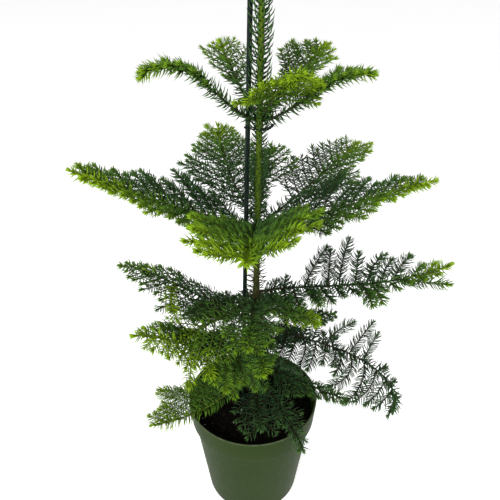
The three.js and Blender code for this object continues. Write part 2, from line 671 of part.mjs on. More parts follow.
// Every frond with its middle line, and the fraction where it stands clear of the stem
function plantFronds() {
  const fronds = WHORLS.flatMap(({ tier, fronds: members, ...habit }) => (
    members.map((own) => ({ ...HABIT, ...habit, ...own, tier, node: `${tier}_frond_${own.name}` }))));
  for (const frond of fronds) {
    frond.axis = axisOf(frond);
    const seat = stemRadius(frond.height) + GAP;
    const isOut = (t) => {
      const { point } = frameAt(frond, t);
      const stem = stemPoint(point.z);
      return Math.hypot(point.x - stem.x, point.y - stem.y) >= seat;
    };
    frond.start = 0;
    while (!isOut(frond.start)) {
      frond.start += 0.0005;
    }
    frond.axis.points.slice(1).forEach((end, k) => {
      take(frond.axis.points[k], end, AXIS_CORE.foot * Math.SQRT2, frond.node);
    });
  }
  fronds.forEach((frond, seed) => {
    frond.grown = [];
    for (const shoot of shootsOf(frond, seed)) {
      const owner = `${frond.node} ${shoot.t.toFixed(3)} ${shoot.side}`;
      const placed = placeShoot(frond, shoot, owner);
      if (placed) {
        frond.grown.push(placed);
      }
    }
  });
  return fronds;
}

// Assembly
const pine = new THREE.Group();

function addPiece(name, geometry, finish) {
  const [color, roughness] = COLOURS[finish];
  const material = new THREE.MeshStandardMaterial({ color, roughness, metalness: 0 });
  const piece = new THREE.Mesh(geometry, material);
  piece.name = name;
  pine.add(piece);
}

take(stemPoint(SOIL.top), stemPoint(STEM.head[2]), STEM.footRadius, 'stem core');
take(stakePoint(SOIL.top), stakePoint(STAKE.head[2]), STAKE.radius, 'stake');
take(stemPoint(TIE.height), stakePoint(TIE.height), 4.5, 'tie');
const tieTail = stemPoint(TIE.height).add(vec(...TIE.tail)).add(vec(4, -1, 0));
take(stemPoint(TIE.height), tieTail, TIE.tailRadius + 0.5, 'tie');

const fronds = plantFronds();
addPiece('pot', potShape(), 'pot');
addPiece('soil', soilShape(), 'soil');
addPiece('stake', rod(vec(...STAKE.foot), vec(...STAKE.head), STAKE.radius, STAKE.sides, 0.8), 'stake');
addPiece('tie', tieShape(), 'tie');
addPiece('stem', stemShape(), 'stem');
for (const frond of fronds) {
  addPiece(frond.node, frondShape(frond), frond.tier);
}

export default pine;
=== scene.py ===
# %% [markdown]
# # A young Norfolk Island pine in a nursery pot
#
# The plant is a small tower of tiers. An upright stem carries a whorl of fronds every few
# centimetres, each frond carries side shoots in two rows, and everything is clothed in short curved
# needles. It is tied to a green stake and stands in a plain sage green pot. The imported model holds
# these pieces as plain solids at their real size. This file dresses them: it grows the same fronds
# by the same rule, with every side shoot and a full coat of needles, and gives each surface its
# finish. Lengths are worked out in millimetres and become metres only when a mesh is made.

import bpy
import numpy as np
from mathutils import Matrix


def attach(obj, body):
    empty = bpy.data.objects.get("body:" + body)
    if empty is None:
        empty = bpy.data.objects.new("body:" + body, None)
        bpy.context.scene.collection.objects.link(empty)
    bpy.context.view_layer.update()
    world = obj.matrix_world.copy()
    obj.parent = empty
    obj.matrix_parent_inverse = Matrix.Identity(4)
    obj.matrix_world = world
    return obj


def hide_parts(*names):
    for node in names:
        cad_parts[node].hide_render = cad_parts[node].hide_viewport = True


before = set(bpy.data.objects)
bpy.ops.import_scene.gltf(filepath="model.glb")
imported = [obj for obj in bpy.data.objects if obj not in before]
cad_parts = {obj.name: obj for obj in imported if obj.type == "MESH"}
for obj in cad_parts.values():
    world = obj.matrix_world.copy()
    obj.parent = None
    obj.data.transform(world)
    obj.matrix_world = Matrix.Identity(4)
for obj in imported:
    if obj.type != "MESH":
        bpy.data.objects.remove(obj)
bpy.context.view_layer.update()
MM = 0.001
UP = np.array([0.0, 0.0, 1.0])

# %% [markdown]
# ## The camera
#
# The picture was taken from a little above the crown, looking down into the pot, from close by. The
# low tiers therefore look small and the rim opens as a wide ellipse. Fitting a pinhole camera to the
# pot's outline gives a lens as long as the picture is wide, so sensor and lens are both 36 mm. The
# plant stands 2.8 pixels right of the middle of a 500 pixel picture, which is a small shift.

# %% Camera
CAMERA = {"place": (0.0, -0.441, 0.581), "tilt": 61.0, "lens": 36.0, "shift": -2.8 / 500}

view = bpy.data.objects.new("camera", bpy.data.cameras.new("camera"))
view.location = CAMERA["place"]
view.rotation_euler = (np.radians(CAMERA["tilt"]), 0.0, 0.0)
view.data.lens = view.data.sensor_width = CAMERA["lens"]
view.data.shift_x = CAMERA["shift"]
view.data.clip_start, view.data.clip_end = 0.01, 100.0
bpy.context.scene.collection.objects.link(view)
bpy.context.scene.camera = view
print("Camera:", CAMERA)

# %% [markdown]
# ## Small helpers
#
# Every shape here is an array of points and an array of triangles. A list of such parts is joined
# into one mesh. Each point also has a place on a colour chart, a small picture that is never drawn:
# across it runs the age of the tissue, and up it runs the length of a needle, in a few rows of
# slightly different brightness. The chart is stored as the mesh's UV map, so a needle carries its
# colour with it, and neighbours can differ without a material of their own.

# %% Vectors, chances and grain
CHART = "OFBake"
LIVE_ROWS = 3
BARK_ROW, DRY_ROW, ROWS = 3, 4, 5
CHART_SPREAD = 0.004  # how far a part's corners differ in age, so that no triangle is a line on the chart
GOLDEN_TURN = 2.399963


def unit(v):
    """Vectors scaled to length one."""
    return v / np.maximum(np.linalg.norm(v, axis=-1, keepdims=True), 1e-9)


def chance(a, b):
    """A repeatable number from 0 to 1: sin(12.9898 a + 78.233 b) * 43758.5453 less its whole part."""
    wave = np.sin(a * 12.9898 + b * 78.233) * 43758.5453
    return wave - np.floor(wave)


def grain(x, y, size, seed):
    """Smooth random heights from 0 to 1: a chance at each corner of a square net, eased in between."""
    i, j = np.floor(x / size), np.floor(y / size)
    u, v = x / size - i, y / size - j
    u, v = u * u * (3 - 2 * u), v * v * (3 - 2 * v)
    near = chance(i + seed, j) * (1 - u) + chance(i + 1 + seed, j) * u
    far = chance(i + seed, j + 1) * (1 - u) + chance(i + 1 + seed, j + 1) * u
    return near * (1 - v) + far * v


def ease(x, low, high):
    """0 below low, 1 above high, and a smooth step between them."""
    t = np.clip((x - low) / (high - low), 0, 1)
    return t * t * (3 - 2 * t)


print("Rows of the chart:", LIVE_ROWS, "for live needles, then one for bark and one for dry needles")

# %% Meshes from arrays
def joined(parts):
    """One (points, triangles, chart) from many. Triangles count on from the points before them."""
    counts = np.cumsum([0] + [len(p[0]) for p in parts])
    points = np.concatenate([p[0] for p in parts])
    faces = np.concatenate([p[1] + n for p, n in zip(parts, counts)])
    chart = np.concatenate([p[2] for p in parts])
    return points, faces, chart


def mesh_object(name, part, material):
    """A Blender object from a part in millimetres. Its place is in its mesh, and it sits at the origin."""
    points, faces, chart = part
    mesh = bpy.data.meshes.new(name)
    mesh.vertices.add(len(points))
    mesh.vertices.foreach_set("co", (points * MM).astype(np.float32).ravel())
    mesh.loops.add(faces.size)
    mesh.loops.foreach_set("vertex_index", faces.astype(np.int32).ravel())
    mesh.polygons.add(len(faces))
    mesh.polygons.foreach_set("loop_start", np.arange(0, faces.size, 3, dtype=np.int32))
    mesh.update(calc_edges=True)
    if chart is not None:
        layer = mesh.uv_layers.new(name=CHART)
        layer.uv.foreach_set("vector", chart[faces.ravel()].astype(np.float32).ravel())
    mesh.validate()
    mesh.shade_smooth()
    mesh.materials.append(material)
    made = bpy.data.objects.new(name, mesh)
    bpy.context.scene.collection.objects.link(made)
    return made


def piece(name, part, material, replaces):
    """A piece of the plant. It rides on the one body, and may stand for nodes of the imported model."""
    made = mesh_object(name, part, material)
    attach(made, "root")
    if replaces:
        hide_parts(*replaces)
    print(f"{name}: {len(made.data.polygons)} triangles")
    return made


# %% [markdown]
# ## Tubes and turned shapes
#
# Twigs, the stem, the stake and the tie are all the same idea: a ring of corners carried along a
# line, with its radius as a function of the way it has come. The pot and the potting mix are the
# other classic: an outline turned round an axis. Both close at their ends with a single point, so
# that no mesh is left open.

# %% Rings along a line
END_CAPS = (0.3, 0.6)  # how far the closing points of a tube stand out, in radii
PARALLEL = 0.94  # the cosine of 20 degrees: closer than that, two directions count as one


def headings(path):
    """The direction at each point of a path, from its neighbour on one side to that on the other."""
    return unit(np.gradient(path, axis=0))


def length_of(path):
    """The sum of the steps from each point to the next."""
    return float(np.linalg.norm(np.diff(path, axis=0), axis=1).sum())


def walk(path, distance):
    """Points and directions at given distances along a path, blended from corner to corner."""
    reach = np.concatenate([[0.0], np.cumsum(np.linalg.norm(np.diff(path, axis=0), axis=1))])
    both = np.concatenate([path, headings(path)], axis=1)
    found = np.stack([np.interp(distance, reach, both[:, i]) for i in range(6)], axis=1)
    return found[:, :3], unit(found[:, 3:])


def side_vectors(way, normal=UP):
    """Two directions square to each heading: across it, and above it on the side of the normal.

    Where the line runs along the normal, +X takes the normal's place."""
    same = np.abs(way @ normal)[:, None] > PARALLEL
    across = unit(np.cross(way, np.where(same, np.array([[1.0, 0.0, 0.0]]), normal)))
    return across, np.cross(across, way)


def tube_faces(rings, sides):
    """Triangles of a tube of rings, and of a fan to one more point at either end."""
    ring, side = np.meshgrid(np.arange(rings - 1), np.arange(sides), indexing="ij")
    a = (ring * sides + side).ravel()
    b = (ring * sides + (side + 1) % sides).ravel()
    walls = np.stack([a, b, b + sides, a, b + sides, a + sides], axis=1).reshape(-1, 3)
    k = np.arange(sides)
    after, top, last = (k + 1) % sides, (rings - 1) * sides, rings * sides
    low = np.stack([after, k, np.full(sides, last)], axis=1)
    high = np.stack([top + k, top + after, np.full(sides, last + 1)], axis=1)
    return np.concatenate([walls, low, high])


def tube(path, radii, sides, tones):
    """A closed tube, whose corners stand at path + radius * (above * sin a - across * cos a).

    radii has a number for each ring or for each corner, and tones the age of each ring."""
    way = headings(path)
    across, above = side_vectors(way)
    turn = np.arange(sides) / sides * 2 * np.pi
    radii = np.asarray(radii, float)
    radii = np.broadcast_to(radii[:, None] if radii.ndim == 1 else radii, (len(path), sides))
    spread = -across[:, None] * np.cos(turn)[:, None] + above[:, None] * np.sin(turn)[:, None]
    rings = path[:, None] + radii[:, :, None] * spread
    foot, tip = way[0] * radii[0, 0] * END_CAPS[0], way[-1] * radii[-1, 0] * END_CAPS[1]
    ends = np.stack([path[0] - foot, path[-1] + tip])
    tones = np.broadcast_to(np.asarray(tones, float), len(path))
    u = tones[:, None] + CHART_SPREAD * np.sin(turn)
    v = np.broadcast_to((BARK_ROW + 0.5 + 0.3 * np.cos(turn)) / ROWS, u.shape)
    chart = np.stack([u.ravel(), v.ravel()], axis=1)
    tips = np.array([[tones[0], (BARK_ROW + 0.5) / ROWS], [tones[-1], (BARK_ROW + 0.5) / ROWS]])
    points = np.concatenate([rings.reshape(-1, 3), ends])
    return points, tube_faces(len(path), sides), np.concatenate([chart, tips])


print("A closed tube of 3 rings and 8 sides has", len(tube_faces(3, 8)), "triangles")

# %% Outlines turned round the axis
def rounded(outline, radius, steps):
    """An outline with arcs for corners: (1-t)^2, 2t(1-t) and t^2 of each arc's start, corner and end."""
    outline = np.asarray(outline, float)
    corner, before, after = outline[1:-1], outline[:-2], outline[2:]
    room = np.minimum(np.linalg.norm(before - corner, axis=1), np.linalg.norm(after - corner, axis=1))
    reach = np.minimum(radius, 0.45 * room)[:, None]
    start, end = corner + unit(before - corner) * reach, corner + unit(after - corner) * reach
    t = np.linspace(0, 1, steps)[None, :, None]
    arcs = start[:, None] * (1 - t) ** 2 + 2 * corner[:, None] * t * (1 - t) + end[:, None] * t**2
    return np.concatenate([outline[:1], arcs.reshape(-1, 2), outline[-1:]])


def turned(outline, sides):
    """A closed shape of revolution from (radius, height) pairs, bottom up, from axis to axis."""
    outline = np.asarray(outline, float)
    turn = np.arange(sides) / sides * 2 * np.pi
    radius, height = outline[1:-1, 0], outline[1:-1, 1]
    x, y = np.outer(radius, np.cos(turn)), np.outer(radius, np.sin(turn))
    rings = np.stack([x, y, np.broadcast_to(height[:, None], x.shape)], axis=2)
    poles = np.array([[0, 0, outline[0, 1]], [0, 0, outline[-1, 1]]])
    points = np.concatenate([rings.reshape(-1, 3), poles])
    return points, tube_faces(len(radius), sides), None


# %% [markdown]
# ## Needles
#
# A needle of this species is an awl: stout at its foot, three or four sided, and bent inwards so
# that its point looks along the shoot. Thousands of them make the plant, so each has only three
# corners a ring, and all needles of a frond are worked out in one go.

# %% One function for all needles
NARROWING = 0.1  # what a needle's radius loses from its foot to the ring before its point
FLATNESS = 0.8  # a needle's thickness over its width
CHART_FOOT, CHART_TIP = 0.06, 0.94  # where a needle's foot and point lie in their row of the chart


def needle_faces(rings):
    """Triangles of one needle: a foot, walls between rings of three corners, and a point."""
    k = np.arange(3)
    after = (k + 1) % 3
    r = 3 * np.arange(rings - 1)[:, None]
    first = np.stack([r + k, r + after, r + 3 + after], axis=-1)
    second = np.stack([r + k, r + 3 + after, r + 3 + k], axis=-1)
    walls = np.concatenate([first, second], axis=1).reshape(-1, 3)
    top = 3 * (rings - 1)
    point = np.stack([top + k, top + after, np.full(3, 3 * rings)], axis=1)
    return np.concatenate([[[0, 2, 1]], walls, point])


def needles(coat, rings=2):
    """Curved needles from a coat, a dict of arrays with one entry for each needle.

    A needle's direction turns evenly from its first lean off the shoot to its last one: it is
    out * sin(lean) + way * cos(lean). Three corners stand round that line at each ring, flatter than
    wide, and their radius narrows evenly to a blunt end before the point."""
    count = len(coat["root"])
    spots = np.linspace(0, 1, rings + 1)
    lean = coat["open"][:, None] + (coat["close"] - coat["open"])[:, None] * spots
    out, way = coat["out"][:, None], coat["way"][:, None]
    heading = out * np.sin(lean)[..., None] + way * np.cos(lean)[..., None]
    legs = (heading[:, 1:] + heading[:, :-1]) / 2 * (coat["length"] / rings)[:, None, None]
    root = coat["root"][:, None]
    line = np.concatenate([root, root + np.cumsum(legs, axis=1)], axis=1)
    across = np.broadcast_to(np.cross(coat["way"], coat["out"])[:, None], heading.shape)
    back = np.cross(heading, across)
    turn = np.arange(3) / 3 * 2 * np.pi + np.pi / 2
    radius = coat["girth"][:, None] * (1 - NARROWING * spots[:-1])
    wide, thick = across[:, :-1, None], FLATNESS * back[:, :-1, None]
    corners = wide * np.cos(turn)[:, None] + thick * np.sin(turn)[:, None]
    rings_at = line[:, :-1, None] + radius[..., None, None] * corners
    points = np.concatenate([rings_at.reshape(count, -1, 3), line[:, -1:]], axis=1)
    u = coat["tone"][:, None, None] + CHART_SPREAD * np.array([-1.0, 0.0, 1.0])
    u = np.broadcast_to(u, (count, rings, 3)).reshape(count, -1)
    v = (CHART_FOOT + (CHART_TIP - CHART_FOOT) * spots[:-1])[None, :, None]
    v = np.broadcast_to(v, (count, rings, 3)).reshape(count, -1)
    u = np.concatenate([u, coat["tone"][:, None]], axis=1)
    v = (np.concatenate([v, np.full((count, 1), CHART_TIP)], axis=1) + coat["row"][:, None]) / ROWS
    faces = needle_faces(rings)[None] + (np.arange(count) * (3 * rings + 1))[:, None, None]
    return points.reshape(-1, 3), faces.reshape(-1, 3), np.stack([u.ravel(), v.ravel()], axis=1)


def merged(coats):
    """One coat from many."""
    return {key: np.concatenate([c[key] for c in coats]) for key in coats[0]}


def picked(coat, mask):
    """The needles of a coat that a mask picks."""
    return {key: values[mask] for key, values in coat.items()}


print("A needle of two rings has", len(needle_faces(2)), "triangles")

# %% [markdown]
# ## Where needles stand
#
# On the upright stem each needle stands a golden turn, 137.5 degrees, further round than the last
# one, which spreads them evenly with no rows to be seen. On the fronds they leave to the left and
# the right in turn, each a little above or below the plane of the spray, and look like a comb
# against the light. They close round a shoot's tip, where a tuft of short young ones stands.

# %% Kinds of coat
# density is the needles in a millimetre, length and girth are a needle's length and radius, and open
# and close its first and last lean off the shoot. spray is how far it strays from the comb's plane.
AXIS_COAT = {"density": 1.5, "length": 12.0, "girth": 0.8, "open": 82, "close": 54, "spray": 40}
SHOOT_COAT = {"density": 1.32, "length": 12.0, "girth": 0.6, "open": 70, "close": 30, "spray": 30}
SCATTER = {"place": 0.15, "turn": 0.12, "form": 0.09}
ANY_TURN = 6.28  # radians: the first needle may stand anywhere round its shoot
TIP_LENGTH = 8.0  # over these last millimetres of a shoot, its needles close
CLOSING = {"length": 0.38, "open": 0.45, "close": 0.3}  # what a needle loses of each at the very tip
TUFT = {"count": 5, "lean": (36, 8), "close": 0.5, "length": (0.54, 0.48), "girth": 0.9}
print("Needles on 10 cm of side shoot:", int(100 * SHOOT_COAT["density"]) + TUFT["count"])

# %% Coats of needles
def coat_on(path, kind, tones, draw, from_share=0.0, normal=UP):
    """Needles along a path, each turned by half a turn or by the golden turn from the last one.

    tones gives the age at each share of the path. draw varies place, turn, length and lean."""
    total = length_of(path)
    count = max(4, int(total * (1 - from_share) * kind["density"]))
    k = np.arange(count)
    share = from_share + (1 - from_share) * (k + 0.5 + draw.normal(0, SCATTER["place"], count)) / count
    root, way = walk(path, np.clip(share, 0, 1) * total)
    across, above = side_vectors(way, normal)
    if "spray" in kind:
        turn = np.pi * k + np.radians(draw.normal(0, kind["spray"], count))
    else:
        turn = draw.random() * ANY_TURN + GOLDEN_TURN * k + draw.normal(0, SCATTER["turn"], count)
    out = across * np.cos(turn)[:, None] + above * np.sin(turn)[:, None]
    closing = np.clip(1 - (1 - share) * total / TIP_LENGTH, 0, 1)
    vary = draw.normal(1, SCATTER["form"], (3, count))
    return {
        "root": root, "way": way, "out": out,
        "length": kind["length"] * vary[0] * (1 - CLOSING["length"] * closing),
        "girth": np.full(count, kind["girth"]),
        "open": np.radians(kind["open"] * vary[1] * (1 - CLOSING["open"] * closing)),
        "close": np.radians(kind["close"] * vary[2] * (1 - CLOSING["close"] * closing)),
        "tone": tones(share), "row": draw.integers(0, LIVE_ROWS, count).astype(float),
    }


def tuft_on(path, kind, tone, draw, count=TUFT["count"]):
    """The short needles that close round a shoot's tip, a golden turn apart and ever more upright."""
    way = np.broadcast_to(headings(path)[-1], (count, 3))
    across, above = side_vectors(way)
    turn = GOLDEN_TURN * np.arange(count) + draw.random() * ANY_TURN
    lean = np.radians(np.linspace(*TUFT["lean"], count))
    return {
        "root": np.broadcast_to(path[-1], (count, 3)), "way": way,
        "out": across * np.cos(turn)[:, None] + above * np.sin(turn)[:, None],
        "length": kind["length"] * np.linspace(*TUFT["length"], count),
        "girth": np.full(count, kind["girth"] * TUFT["girth"]),
        "open": lean, "close": lean * TUFT["close"],
        "tone": np.full(count, tone), "row": draw.integers(0, LIVE_ROWS, count).astype(float),
    }


# %% [markdown]
# ## Sizes of the made things
#
# The pot, the potting mix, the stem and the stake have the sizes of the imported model. They are
# needed before the fronds, because no needle may grow into them.

# %% Pot, soil, stem and stake as numbers
POT = {"height": 140.0, "rim": 76.0, "band_foot": 112.0, "band": 73.4, "wall": 70.4, "base": 56.0}
POT_WALL, POT_FLOOR = 1.8, 2.6
DRAIN = {"count": 6, "radius": 4.5, "circle": 40.0}
BAND_STEP = 3.0  # how far the wall steps out, inside, where the rim band begins
SOIL_TOP, SOIL_RISE = 120.0, 2.2
STEM = {"foot": np.array([1.5, 0, 120.0]), "head": np.array([7.6, 0, 606.0]), "root": 84.0}
STEM_RADII = (3.6, 2.5)
STAKE = {"foot": np.array([-14.6, 6.5, 22.0]), "head": np.array([-1.4, 3.5, 592.0]), "radius": 2.3}
TIE = {"height": 459.0, "radius": 0.6, "tail": 9.0}


def rod_share(rod, height):
    """How far up a rod a height is, from 0 at its foot to 1 at its head."""
    return (np.asarray(height, float) - rod["foot"][2]) / (rod["head"][2] - rod["foot"][2])


def rod_point(rod, height):
    """The middle of a straight rod at a height."""
    return rod["foot"] + rod_share(rod, height)[..., None] * (rod["head"] - rod["foot"])


def stem_radius(height):
    """The stem's radius, which narrows evenly from foot to head."""
    return STEM_RADII[0] + np.maximum(rod_share(STEM, height), 0) * (STEM_RADII[1] - STEM_RADII[0])


def pot_radius(height):
    """The pot's outer radius: one straight taper for the wall and a steeper one for the rim band."""
    wall = np.interp(height, [0, POT["band_foot"]], [POT["base"], POT["wall"]])
    band = np.interp(height, [POT["band_foot"], POT["height"]], [POT["band"], POT["rim"]])
    return np.where(np.asarray(height) > POT["band_foot"], band, wall)


def soil_height(x, y):
    """A low mound that falls away from the stem as exp(-distance^2 / 900), with slow waves on it."""
    return SOIL_TOP + SOIL_RISE * np.exp(-(x * x + y * y) / 900) + 0.8 * np.sin(x / 9 + 1) * np.cos(y / 11)


def is_free(points, margin):
    """Whether points stay off the pot's wall and the soil by a margin."""
    x, y, z = np.moveaxis(points, -1, 0)
    away = np.hypot(x, y)
    above = z > POT["height"] + margin
    inside = (away < pot_radius(z) - POT_WALL - BAND_STEP - margin) & (z > soil_height(x, y) + margin)
    outside = away > pot_radius(z) + margin
    return above | inside | outside


def off_the_rods(points, margin):
    """Whether points stay out of the stem and the stake."""
    height = points[..., 2]
    from_stem, from_stake = (
        np.linalg.norm((points - rod_point(rod, height))[..., :2], axis=-1) for rod in (STEM, STAKE)
    )
    on_stake = (height < STAKE["head"][2] + margin) & (from_stake < STAKE["radius"] + margin)
    return (from_stem > stem_radius(height) + margin) & ~on_stake


print("The pot is", round(float(pot_radius(SOIL_TOP)), 1), "mm in radius at the potting mix")

# %% [markdown]
# ## The growth rule
#
# A frond leaves the stem at a height, towards a compass direction that runs anticlockwise from +X
# and turns by sweep on the way. Its slope runs from rise through mid to end, so one rule gives an
# arch, a droop or a lifted tip. Drawing each frond by hand would also work, but with one rule they
# look like relatives, and a frond is fitted to the photograph with a few numbers.
#
# Side shoots stand in pairs between the fractions bare and reach of its length. The longest, span,
# stands at the fraction peak, foot and tips say what the first and last have of it, and taper how
# soon they shorten. They leave at splay from the frond's line, wider by skew on its left, and at
# lift above its plane, which roll raises on the left and lowers on the right. bend turns them to
# the frond's tip and droop sags them. left and right scale the two rows, and shoots lists those that
# are seen one by one.
#
# freshness is how young the growth is, from 0 for dark old needles to 1 for this year's.
# fresher adds to it on the left and takes from it on the right, which gives painted light on
# one row of shoots and painted shade on the other, over a small real difference in age, and fresh_tip
# adds to it at the tip. cover and needle scale the number and the length of the needles, and rib is
# the least age of the frond's own bark. Angles are degrees.

# %% Habit and tiers
HABIT = {
    "sweep": 0, "bare": 0.2, "reach": 0.93, "pairs": 8, "span": 40, "peak": 0.45, "foot": 0.45,
    "tips": 0.25, "taper": 1, "lift": 12, "roll": 0, "splay": 66, "skew": 0, "bend": 0.35, "droop": 0.1,
    "left": 1, "right": 1, "shoots": (), "freshness": 0.3, "fresher": 0, "fresh_tip": 0, "cover": 1,
    "needle": 1, "rib": 0,
}
SHOOT_KEYS = ("t", "side", "length", "splay", "lift", "freshness", "bend")  # side is 1 for the left
TIERS = {
    "crown": {"height": 466, "bare": 0.42, "reach": 0.95, "peak": 0.6, "needle": 0.72},
    "upper": {"height": 364, "span": 56, "tips": 0.16, "taper": 0.75, "needle": 0.9},
    "middle": {"height": 278}, "lower": {"height": 249}, "skirt": {"height": 198}, "base": {"height": 165},
}
FRONDS = []


def frond(tier, name, **own):
    """Adds a frond to the plant: the plant's habit, then its tier's, then its own."""
    FRONDS.append({**HABIT, **TIERS[tier], **own, "tier": tier, "name": name})


print("Tiers:", ", ".join(TIERS))

# %% Table of fronds
frond("crown", "left", compass=186, length=116, rise=14, mid=94, end=-44, pairs=6, span=15, lift=20,
      freshness=0.68, needle=0.92, cover=1.65)
frond("crown", "right", compass=357, length=105, rise=11, mid=67, end=-8, pairs=6, span=20, lift=20,
      freshness=0.66, needle=0.92, cover=1.3)
frond("crown", "back_left", compass=119, length=103, rise=30, mid=37, end=34, sweep=-6, pairs=6, span=31,
      peak=0.7, left=0.92, right=1.1, freshness=0.55, fresh_tip=0.2, cover=0.5)
frond("crown", "back_right", compass=51, length=115, rise=30, mid=29, end=26, span=38, left=1.2, right=0.8,
      freshness=0.7, fresher=-0.1, cover=0.6)
frond("crown", "front", compass=310, length=70, rise=57, mid=52, end=21, bare=0.34, reach=0.97, pairs=7,
      span=46, peak=0.4, foot=0.95, tips=0.3, taper=0.8, lift=0, roll=-7, splay=92, droop=0.55, left=1.05,
      freshness=1.08, cover=0.85)
frond("upper", "left", compass=189, length=178, rise=13, mid=26, end=26, bare=0.08, pairs=15, peak=0.32,
      foot=0.6, tips=0.25, roll=-12, left=0.66, freshness=0.52, fresher=0.28, fresh_tip=0.6, cover=1.42)
frond("upper", "right", compass=356, length=170, rise=4, mid=35, end=12, sweep=2, bare=0.12, pairs=14,
      peak=0.32, roll=10, right=0.85, freshness=0.44, fresher=-0.24, fresh_tip=0.45, cover=1.12)
frond("upper", "back_left", compass=117, length=168, rise=21, mid=16, end=23, sweep=-20, bare=0.16,
      pairs=13, peak=0.42, foot=0.6, tips=0.25, taper=1, droop=0, freshness=0.24, fresh_tip=0.9, needle=1)
frond("upper", "back_right", compass=48, length=181, rise=7, mid=20, end=14, bare=0.3, pairs=12, span=54,
      peak=0.42, foot=0.8, tips=0.5, taper=1, roll=8, droop=0, left=0.85, right=0.9, freshness=0.22,
      fresher=-0.15, fresh_tip=0.65, cover=0.72, needle=1)
frond("upper", "front", compass=266, length=143, rise=21, mid=17, end=8, reach=0.96, pairs=13, span=62,
      peak=0.66, foot=0.2, tips=0.52, taper=2, lift=25, roll=5, splay=82, droop=0, right=0.9, freshness=0.68,
      fresher=-0.08, fresh_tip=0.35, cover=1.3)
frond("middle", "left", compass=178, length=151, rise=-30, mid=69, end=1, sweep=-4, bare=0.14, pairs=13,
      span=46, foot=0.5, tips=0.2, taper=0.9, lift=6, roll=-4, skew=10, droop=0.2, left=1.1, right=0.7,
      shoots=((0.6, 1, 64, 79, 6, 1.3, -0.79), (0.73, -1, 15, 3, 29, 1.3, 0)), freshness=0.42, cover=0.7)
frond("middle", "right", height=286, compass=356, length=198, rise=14, mid=-9, end=31, bare=0.22,
      pairs=10, span=52, peak=0.34, foot=0.85, tips=0.1, lift=18, roll=20, splay=86, droop=0, left=0,
      right=0.5, shoots=((0.1, 1, 9, 84, 30, 0.15, 0.2), (0.15, 1, 13, 84, 30, 0.15, 0.2),
      (0.08, -1, 20, 84, -10, 0.4, 0.2), (0.15, -1, 24, 84, -10, 0.4, 0.2), (0.2, -1, 30, 84, -10, 0.4, 0.2),
      (0.26, 1, 52, 70, 32, 0.15, 0.4), (0.38, 1, 41, 82, 32, 0.15, 0),
      (0.44, 1, 50, 84, 46, 0.15, 0.36), (0.52, 1, 38, 78, 27, 0.15, 0), (0.6, 1, 54, 96, 5, 0.2, 1.2),
      (0.66, 1, 28, 80, 32, 0.15, 0.78), (0.72, 1, 32, 70, 30, 0.2, 1), (0.81, 1, 17, 46, 24, 0.5, 0.3),
      (0.88, 1, 14, 40, 16, 0.85, 0.2), (0.3, -1, 34, 84, 0, 0.75, 0.16),
      (0.55, -1, 36, 73, -4, 0.5, -0.2), (0.61, -1, 33, 84, -3, 0.55, 0.1), (0.74, -1, 48, 26, -6, 0.5, 0.2)),
      freshness=0.2, fresh_tip=0.7, cover=1.35, needle=1.08)
frond("middle", "front_right", compass=322, length=76, rise=12, mid=4, end=-10, pairs=7, span=30, lift=8,
      left=0.6, freshness=0.7, cover=0.42)
frond("middle", "front_left", compass=218, length=98, rise=-8, mid=0, end=-8, pairs=7, span=60, lift=4,
      roll=-8, tips=0.4, freshness=0.8, cover=0.32)
frond("lower", "front_left", compass=236, length=157, rise=-43, mid=79, end=14, sweep=-40, bare=0.12,
      pairs=14, span=44, peak=0.3, foot=0.66, tips=0.2, taper=0.8, lift=8, roll=-20, skew=8, droop=0.4,
      left=1.2, right=1.2, shoots=((0.43, 1, 41, 111, -36, 1.3, -0.35), (0.54, 1, 39, 86, -11, 1.3, 0.29),
      (0.63, 1, 42, 93, -32, 1.3, 0.44), (0.77, 1, 17, 69, -23, 1.3, 0)), freshness=0.54, fresher=0.3,
      fresh_tip=0.8, cover=0.72)
frond("lower", "right", compass=345, length=205, rise=-23, mid=25, end=-99, sweep=2, bare=0.14,
      reach=0.46, pairs=6, span=46, peak=0.24, foot=0.8, tips=0.5, lift=0, roll=20, splay=86, bend=-0.4,
      droop=0.3, left=0.5, right=0.85, shoots=((0.39, 1, 39, 82, 72, 0.15, 0.97),
      (0.52, 1, 41, 77, 52, 0.15, 0.07), (0.6, 1, 32, 90, 49, 0.15, 0.07), (0.7, 1, 14, 60, 20, 0.2, 0.3),
      (0.8, 1, 12, 60, 20, 0.2, 0.3), (0.9, 1, 10, 50, 20, 0.2, 0.3),
      (0.47, -1, 32, 69, -14, 0.15, -0.72), (0.53, -1, 50, 59, -26, 0.15, -1.6),
      (0.61, -1, 54, 69, -22, 0.15, -0.94), (0.69, -1, 42, 57, -60, 0.15, -0.9),
      (0.77, -1, 35, 72, -48, 0.15, -0.5), (0.85, -1, 28, 70, -50, 0.15, -0.4),
      (0.93, -1, 16, 60, -30, 0.2, 0)), cover=1.1, freshness=0.08)
frond("lower", "back_right", height=257, compass=20, length=100, rise=3, mid=-46, end=4, span=26, lift=8,
      roll=5, left=0.35, freshness=0.2)
frond("lower", "front", compass=276, length=74, rise=-4, mid=-6, end=-14, pairs=6, span=22, droop=0.3,
      freshness=0.42, fresh_tip=0.2, cover=0.58)
frond("lower", "back_left", compass=140, length=100, rise=-10, mid=-14, end=-22, pairs=9, freshness=0.15)
frond("lower", "back", height=243, compass=84, length=95, rise=-8, mid=-10, end=-25, freshness=0.15)
frond("skirt", "left", height=190, compass=213, length=139, rise=-56, mid=-7, end=14, sweep=-8, bare=0.16,
      pairs=12, span=52, tips=0.22, lift=5, roll=-24, left=0, right=1.15, rib=0.6,
      shoots=((0.1, 1, 42, 108, 14, 0.8),), freshness=0.85, cover=0.9)
frond("skirt", "right", compass=349, length=118, rise=-42, mid=-10, end=-20, span=26, peak=0.25, lift=0,
      droop=0.2, left=0.7, cover=0.9)
frond("skirt", "back_left", compass=135, length=110, rise=-18, mid=-12, end=-25, pairs=9, freshness=0.1)
